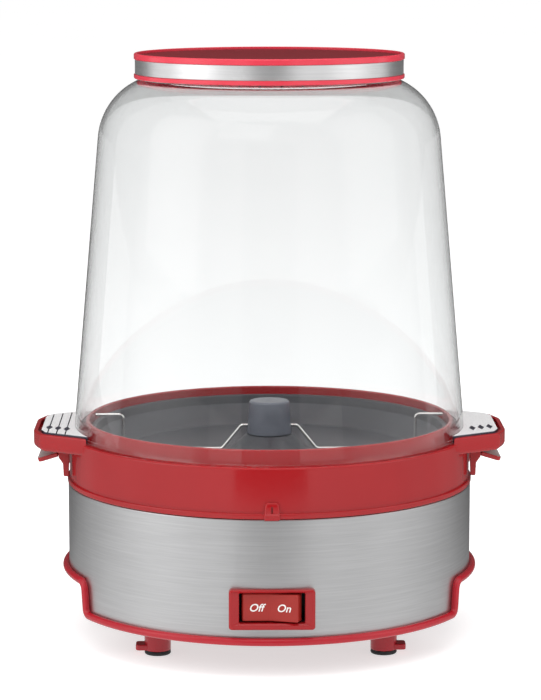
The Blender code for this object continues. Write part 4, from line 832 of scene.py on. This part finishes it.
def build_latches():
    half_width = 19.0
    slope = math.radians(18.0)
    length = 17.4
    barrel_half = half_width - 4.5
    x, z = latch_pivot.x, latch_pivot.z
    outline = fillet([(2.0, 1.0 - barrel_half, 0), (3.6, 1.0 - barrel_half, 0), (3.6, -half_width, 0.6),
                      (length, 2.0 - half_width, 4.0), (length, half_width - 2.0, 4.0),
                      (3.6, half_width, 0.6), (3.6, barrel_half - 1.0, 0), (2.0, barrel_half - 1.0, 0)], 6)
    paddle = softened(prism(outline, -1.4, 1.4), 0.6, 3, 40.0)
    paddle.transform(Matrix.Translation(latch_pivot) @ Matrix.Rotation(slope, 4, "Y"))
    barrel = along_y(turned(fillet([(0, -barrel_half, 0), (2.9, -barrel_half, 0.4),
                                    (2.9, barrel_half, 0.4), (0, barrel_half, 0)]), 32), (x, 0, z))
    arm_x = shell_radius + 5.0
    arm = softened(block(arm_x - 1.2, arm_x + 1.2, -6.0, 6.0, z - 1.0, ledge + 3.0), 0.4, 2)
    hole = along_y(cylinder(1.5, -60, 60, segments=24), (x, 0, z))
    latch = cut(join(barrel, paddle, arm), hole)
    pin_half = EAR_INNER + 1.7
    pin = along_y(turned(fillet([(0, -pin_half, 0), (1.2, -pin_half, 0.3), (1.2, pin_half, 0.3),
                                 (0, pin_half, 0)]), 24), (x, 0, z))
    coil_radius = 2.2
    coil_wire = 0.45
    turns = 3
    per_turn = 24
    coil = []
    for step in range(turns * per_turn + 1):
        angle = 2 * math.pi * step / per_turn
        coil.append((x + coil_radius * math.cos(angle), half_width - 3.7 + 1.15 * step / per_turn,
                     z + coil_radius * math.sin(angle)))
    coil.append((coil[-1][0], coil[-1][1] + 0.1, coil[-1][2] + 1.8))
    spring = swept(coil, coil_wire, 8)
    for side in ("left", "right"):
        turn_over = (lambda mesh: mesh.copy()) if side == "right" else mirrored_x
        paddle = place("paddle_" + side, turn_over(latch), red, "latch_" + side, "red_plastic",
                       "latch_" + side)
        # the paddle's upward faces beyond the barrel are painted pale grey: painted highlight
        paddle.data.materials.append(paddle_top_highlight.material)
        for face in paddle.data.polygons:
            if face.normal.z > 0.8 and abs(face.center.x) > (x + 3.7) * 0.001 and face.area > 1e-5:
                face.material_index = 1
        place("pin_" + side, turn_over(pin), wire, "plate_unit", "bright_wire", "latch_pin_" + side)
        place("coil_" + side, turn_over(spring), wire, "latch_" + side, "bright_wire", "latch_spring_" + side)


# ---------------------------------------------------------------- popping plate and stirrer

def build_plate():
    sheet = 2.2
    step = plate_radius - 4.4
    floor = plate_radius - 17.8
    hole = 8.3
    profile = fillet([
        (plate_radius, plate_rim, 0.4), (step + 1.2, plate_rim, 1.2), (step, plate_rim - 5.6, 1.0),
        (floor + 4.0, plate_floor + 5.0, 6.0), (floor - 1.5, plate_floor, 6.0),
        (28.0, plate_floor, 6.0), (15.0, mound_top, 3.0), (hole, mound_top, 0.3),
        (hole, mound_top - sheet, 0),
        (14.0, mound_top - sheet, 2.0), (26.5, plate_floor - sheet, 4.0),
        (floor + 1.0, plate_floor - sheet, 5.0), (floor + 6.2, plate_floor + 4.0, 3.0),
        (step + sheet, plate_rim - 6.8, 0.5), (step + sheet, plate_rim - sheet, 0.3),
        (plate_radius, plate_rim - sheet, 0.3)], 6)
    place("pan", turned(profile), nonstick, "plate_unit", "nonstick", "popping_plate")


def build_stirrer():
    wall = 2.0
    top = 13.0
    profile = fillet([(0, hub_high, 0), (top, hub_high, 1.6), (hub_radius, hub_low, 0.5),
                      (hub_radius - wall, hub_low, 0), (top - wall, hub_high - wall, 0.8),
                      (0, hub_high - wall, 0)], 5)
    cap = turned(profile, 96)
    rod_z = mound_top + 5.4
    rod = (high("stir_rod_right").y - low("stir_rod_right").y) / 2
    slot = block(-30, 30, -rod - 0.4, rod + 0.4, hub_low - 5, rod_z + rod + 0.4)
    cap = cut(cap, slot)
    place("stirrer_cap", cap, smoke, "stirrer", "smoke_plastic", "hub_cap")
    thickness = 1.05
    floor_z = plate_floor + thickness + 0.35
    upright = plate_radius - 20.5
    tip_z = plate_rim + 6.2
    line = fillet([(4.2, rod_z, 0), (hub_radius + 3.3, rod_z, 3.0), (31.0, floor_z, 3.0),
                   (upright, floor_z, 2.8), (upright, tip_z, 2.8), (plate_radius - 2.5, tip_z, 0)],
                  7, closed=False)
    arm = swept([(x, 0.0, z) for x, z in line], thickness, 14)
    rod_right = softened(arm, 0.25, 2, 60.0)
    rod_left = mirrored_x(rod_right)
    place("rod_right", rod_right, wire, "stirrer", "bright_wire", "stir_rod_right")
    place("rod_left", rod_left, wire, "stirrer", "bright_wire", "stir_rod_left")


# ---------------------------------------------------------------- bowl and lid

BOWL_WALL = 2.2
SHOULDER = 44.1              # radius of the shoulder's arc
SHOULDER_SWEEP = 66.0        # degrees of that arc
shoulder_start = bowl_top - 9.0 - SHOULDER * math.sin(math.radians(SHOULDER_SWEEP))
shoulder_outer = bowl_radius - 17.1
shoulder_centre = shoulder_outer - SHOULDER
neck_radius = shoulder_centre + SHOULDER * math.cos(math.radians(SHOULDER_SWEEP)) - 4.4


def shoulder_arc(radius, steps=20):
    points = []
    for step in range(steps + 1):
        angle = math.radians(4 + (SHOULDER_SWEEP - 4) * step / steps)
        points.append((shoulder_centre + radius * math.cos(angle), shoulder_start + radius * math.sin(angle)))
    return points


def build_bowl():
    end_z = shoulder_start + SHOULDER * math.sin(math.radians(SHOULDER_SWEEP))
    outer = fillet([(bowl_radius, bowl_foot + 1.0, 0), (bowl_radius - 0.4, bowl_foot + 3.0, 1.0),
                    (shoulder_arc(SHOULDER)[0][0], shoulder_arc(SHOULDER)[0][1], 0)], 3, closed=False)
    outer += shoulder_arc(SHOULDER)[1:]
    outer += fillet([(neck_radius, end_z + 1.6, 0), (neck_radius, bowl_top, 0.8),
                     (neck_radius - BOWL_WALL, bowl_top, 0.8), (neck_radius - BOWL_WALL, end_z - 0.6, 0)],
                    4, closed=False)
    outer += list(reversed(shoulder_arc(SHOULDER - BOWL_WALL)))
    outer += [(bowl_radius - BOWL_WALL - 0.4, bowl_foot + 3.0), (bowl_radius - BOWL_WALL, bowl_foot + 0.5),
              (bowl_radius - BOWL_WALL + 0.5, bowl_foot), (bowl_radius - 0.5, bowl_foot)]
    bowl = place("dome", turned(outer, 256), clear, "bowl", "clear_plastic", "bowl", sharp=40.0)
    bowl.visible_shadow = False
    bowl.visible_diffuse = False


def build_lugs():
    top = bowl_foot + 4.7
    inset = TRAY_WALL + 0.4
    root = bowl_radius - 12.0
    levels = [level(handle_plan(inset, root), bowl_foot + 0.1)]
    for more, drop in quarter_steps(0.8, 3):
        levels.append(level(handle_plan(inset + more, root), top - drop))
    wall_cut = cylinder(bowl_radius - 0.6, bowl_foot - 10, bowl_foot + 20)
    pocket = block(shell_radius - 0.8, shell_radius + 7.8, -7.2, 7.2, bowl_foot - 5, top - 1.2)
    end = handle_end - TRAY_WALL - LUG_END_GAP
    end_cut = block(end, end + 20, -60, 60, bowl_foot - 10, bowl_foot + 20)
    plain = softened(cut(stack(levels), wall_cut, pocket, end_cut), 0.25, 2, 50.0)
    groove_places = (131.6, 137.4, 143.2)
    grooves = [block(x - 0.4, x + 0.4, -60, 60, top - 0.7, top + 5) for x in groove_places]
    for side in ("left", "right"):
        lug = cut(plain.copy(), *grooves) if side == "left" else plain.copy()
        if side == "left":
            lug = mirrored_x(lug)
        piece = place("lug_" + side, lug, lug_edge, "bowl", "clear_plastic")
        piece.data.materials.append(frosted_highlight.material)
        # the lug's upward top faces take the pale frosted finish: painted highlight
        for face in piece.data.polygons:
            if face.normal.z > 0.8 and face.center.z > (top - 0.3) * 0.001:
                face.material_index = 1
        studs = []
        sign = -1 if side == "left" else 1
        for x in groove_places:
            middle = -23.0 + (x - groove_places[0]) * 0.5
            diamond = [(sign * (x + 2.1), middle), (sign * x, middle + 8.0),
                       (sign * (x - 2.1), middle), (sign * x, middle - 8.0)]
            studs.append(softened(prism(diamond, top - 0.9, top + 0.25), 0.15, 2))
        place("studs_" + side, gathered(*studs), stud_black, "bowl", "clear_plastic")


def build_lid():
    band_low = lid_low + 2.8
    band_high = lid_high - 3.8
    band_radius = high("lid_band").x
    seat = band_radius - 1.1
    skirt_inner = lid_radius - 4.6
    cover_high = high("lid_cover").z
    cover_low = low("lid_cover").z
    top_inner = lid_radius - 2.2
    shelf = skirt_inner - 12.0
    shelf_low = bowl_top + 1.6
    ring = turned(fillet([
        (skirt_inner, lid_low, 0.5), (lid_radius, lid_low, 0.9), (lid_radius, band_low, 0.4),
        (seat, band_low, 0), (seat, band_high, 0), (lid_radius, band_high, 0.4),
        (lid_radius, lid_high, 1.5), (top_inner, lid_high, 0.5), (top_inner, cover_low - 0.3, 0),
        (shelf, cover_low - 0.3, 0.3), (shelf, shelf_low, 0.3), (skirt_inner, shelf_low, 0.5)], 5))
    place("lid_body", ring, lid_red, "lid", "red_plastic", "lid_ring")
    band = turned(fillet([(seat + 0.3, band_low + 0.1, 0), (band_radius, band_low + 0.1, 0.25),
                          (band_radius, band_high - 0.1, 0.25), (seat + 0.3, band_high - 0.1, 0)], 3))
    place("lid_steel", band, lid_metal, "lid", "brushed_steel", "lid_band")
    radius = high("lid_cover").x
    cover = turned(fillet([(0, cover_low, 0), (radius, cover_low, 0.2), (radius, cover_high, 0.5),
                           (radius - 3.0, cover_high, 0.3), (radius - 3.4, cover_high - 0.35, 0.3),
                           (radius - 4.4, cover_high - 0.35, 0.3), (radius - 4.8, cover_high, 0.3),
                           (0, cover_high, 0)], 3))
    place("lid_plate", cover, lid_top_red, "lid", "dark_red_plastic", "lid_cover")


# ---------------------------------------------------------------- studio

def card(name, corners, shine, soft=False):
    """Sheet that only shows in reflections: a dark flag, or a bright panel with a soft edge."""
    bm = bmesh.new()
    bm.faces.new([bm.verts.new(corner) for corner in corners])
    mesh = mesh_from(bm)
    paint = Paint(name, (0.0, 0.0, 0.0), 1.0, Specular_IOR_Level=0.0,
                  Emission_Color=WHITE, Emission_Strength=shine)
    if soft:
        coordinates = paint.node("ShaderNodeTexCoord")
        centred = paint.node("ShaderNodeVectorMath", operation="SUBTRACT")
        centred.inputs[1].default_value = (0.5, 0.5, 0.5)
        length = paint.node("ShaderNodeVectorMath", operation="LENGTH")
        paint.tree.links.new(coordinates.outputs["Generated"], centred.inputs[0])
        paint.tree.links.new(centred.outputs[0], length.inputs[0])
        glow = paint.remap(length.outputs["Value"], 0.15, 0.7, shine, 0.5)
        paint.tree.links.new(glow, paint.shader.inputs["Emission Strength"])
    mesh.materials.append(paint.material)
    sheet = bpy.data.objects.new(name, mesh)
    bpy.context.scene.collection.objects.link(sheet)
    sheet.visible_camera = False
    sheet.visible_diffuse = False
    sheet.visible_transmission = False
    sheet.visible_shadow = False
    return sheet


def softbox(name, centre, aim, width, height, radiance):
    """Area light of a given radiance, in metres, turned towards a point."""
    light = bpy.data.lights.new(name, "AREA")
    light.shape = "RECTANGLE"
    light.size = width
    light.size_y = height
    light.energy = radiance * math.pi * width * height
    lamp = bpy.data.objects.new(name, light)
    lamp.location = centre
    lamp.rotation_euler = (Vector(aim) - Vector(centre)).to_track_quat("-Z", "Y").to_euler()
    lamp.visible_camera = False
    lamp.visible_glossy = False
    bpy.context.scene.collection.objects.link(lamp)
    return lamp


def standing_card(name, azimuth_from, azimuth_to, distance, z_low, z_high, shine, steps=6):
    """Upright curved sheet round the machine; azimuth 0 is the front, counted towards +X."""
    for step in range(steps):
        start = azimuth_from + (azimuth_to - azimuth_from) * step / steps
        end = azimuth_from + (azimuth_to - azimuth_from) * (step + 1) / steps
        a = Vector(around(start, distance, 0))
        b = Vector(around(end, distance, 0))
        card(f"{name}_{step}", [(a.x, a.y, z_low), (b.x, b.y, z_low), (b.x, b.y, z_high), (a.x, a.y, z_high)],
             shine)


# Painted reflection: brightness of the sheet that the steel mirrors in place of the floor, by degrees from the
# front towards +X.
PAINTED_REFLECTION_SHINE = ((-180, 0.10), (-140, 0.16), (-112, 0.45), (-73, 0.82), (-45, 0.92), (-24, 0.92), (0, 0.75),
               (24, 0.85), (46, 0.80), (79, 0.66), (103, 0.46), (124, 0.28), (145, 0.12), (180, 0.10))


def paint_floor_reflection():
    """Painted reflection: the floor as the sides of the machine mirror it, pale in front, fading to dark behind,
    on a sheet that only reflections see.
    """
    reach = 1.8
    sheet = card("painted_floor_reflection", [(-reach, -reach, 0.003), (reach, -reach, 0.003), (reach, reach, 0.003),
                                 (-reach, reach, 0.003)], 1.0)
    paint = sheet.data.materials[0]
    tree = paint.node_tree
    coordinates = tree.nodes.new("ShaderNodeTexCoord")
    split = tree.nodes.new("ShaderNodeSeparateXYZ")
    flip = tree.nodes.new("ShaderNodeMath")
    flip.operation = "MULTIPLY"
    flip.inputs[1].default_value = -1.0
    azimuth = tree.nodes.new("ShaderNodeMath")
    azimuth.operation = "ARCTAN2"
    tree.links.new(coordinates.outputs["Object"], split.inputs[0])
    tree.links.new(split.outputs["Y"], flip.inputs[0])
    tree.links.new(split.outputs["X"], azimuth.inputs[0])
    tree.links.new(flip.outputs[0], azimuth.inputs[1])
    scaled = tree.nodes.new("ShaderNodeMapRange")
    for index, number in enumerate((-math.pi, math.pi, 0.0, 1.0), start=1):
        scaled.inputs[index].default_value = number
    tree.links.new(azimuth.outputs[0], scaled.inputs[0])
    ramp = tree.nodes.new("ShaderNodeValToRGB")
    ramp.color_ramp.interpolation = "EASE"
    stops = ramp.color_ramp.elements
    while len(stops) > 1:
        stops.remove(stops[-1])
    stops[0].position = 0.0
    for index, (degrees, shine) in enumerate(PAINTED_REFLECTION_SHINE):
        position = (degrees + 180) / 360
        stop = stops[0] if index == 0 else stops.new(position)
        stop.color = (shine, shine, shine, 1.0)
    tree.links.new(scaled.outputs[0], ramp.inputs[0])
    tree.links.new(ramp.outputs[0], tree.nodes["Principled BSDF"].inputs["Emission Color"])


def build_studio():
    floor_half = 30.0            # metres, far past anything the camera sees
    bm = bmesh.new()
    bm.faces.new([bm.verts.new((x * floor_half, y * floor_half, 0.0))
                  for x, y in ((-1, -1), (1, -1), (1, 1), (-1, 1))])
    floor_mesh = mesh_from(bm)
    floor_paint = Paint("floor_white", (0.62, 0.62, 0.62), 0.8, Specular_IOR_Level=0.0,
                        Emission_Color=WHITE, Emission_Strength=0.62)
    floor_paint.tint(floor_paint.noise(2.0), (0.61, 0.61, 0.61))
    floor_mesh.materials.append(floor_paint.material)
    floor = bpy.data.objects.new("floor", floor_mesh)
    bpy.context.scene.collection.objects.link(floor)

    world = bpy.data.worlds.new("studio")
    world.use_nodes = True
    world.node_tree.nodes["Background"].inputs["Color"].default_value = WHITE
    world.node_tree.nodes["Background"].inputs["Strength"].default_value = 0.62
    bpy.context.scene.world = world

    aim = (0.0, 0.0, 0.15)
    softbox("key_top", (0.0, -0.3, 2.3), aim, 2.4, 2.2, 2.1)
    softbox("key_front", (-0.7, -2.1, 1.9), aim, 1.6, 1.2, 1.6)
    softbox("side_left", (-1.3, -0.6, 0.9), aim, 1.2, 1.4, 1.1)
    softbox("side_right", (1.3, -0.5, 0.9), aim, 1.2, 1.4, 0.8)

    card("flag_floor", [(-0.22, -0.64, 0.006), (0.22, -0.64, 0.006), (0.40, -1.3, 0.006),
                        (-0.40, -1.3, 0.006)], 0.0)
    card("flag_front", [(-0.7, -2.4, 0.05), (0.7, -2.4, 0.05), (0.7, -2.4, 1.1), (-0.7, -2.4, 1.1)], 0.0)
    # painted reflection of the floor, seen only in the machine's glossy sides
    paint_floor_reflection()
    card("flag_above", [(-0.6, 1.5, 0.45), (0.6, 1.5, 0.45), (0.6, 1.5, 1.6), (-0.6, 1.5, 1.6)], 0.0)
    standing_card("flag_left", -180.0, -118.0, 1.0, 0.0, 1.5, 0.10)
    standing_card("flag_right", 112.0, 180.0, 1.0, 0.0, 1.5, 0.10)
    for side, azimuth, shine in (("left", -64.0, 1.7), ("right", 70.0, 1.2)):
        near = Vector(around(azimuth - 30.0, 1.15, 0.0))
        far = Vector(around(azimuth + 30.0, 1.15, 0.0))
        card("panel_" + side, [(near.x, near.y, -0.3), (far.x, far.y, -0.3), (far.x, far.y, 1.5),
                               (near.x, near.y, 1.5)], shine, soft=True)
    card("panel_top", [(-1.2, -1.3, 2.2), (1.2, -1.3, 2.2), (1.2, 0.9, 2.2), (-1.2, 0.9, 2.2)], 1.4,
         soft=True)


def build_camera():
    data = bpy.data.cameras.new("camera")
    data.sensor_width = 36.0
    data.lens = 143.1
    data.clip_end = 100.0
    camera = bpy.data.objects.new("camera", data)
    swing = math.radians(-0.76)
    aside, back = 0.0008, 1.7997
    camera.location = (aside * math.cos(swing) + back * math.sin(swing),
                       aside * math.sin(swing) - back * math.cos(swing), 0.4632)
    camera.rotation_euler = (math.radians(81.2), 0.0, swing)
    bpy.context.scene.collection.objects.link(camera)
    bpy.context.scene.camera = camera


# ---------------------------------------------------------------- the whole scene

build_camera()
dress_cad_nodes()
build_steel()
build_bead()
build_cover()
build_feet()
build_bezel()
build_rocker()
build_gland()
build_housing()
build_latches()
build_plate()
build_stirrer()
build_bowl()
build_lugs()
build_lid()
build_studio()
bpy.context.scene.view_settings.view_transform = "Standard"
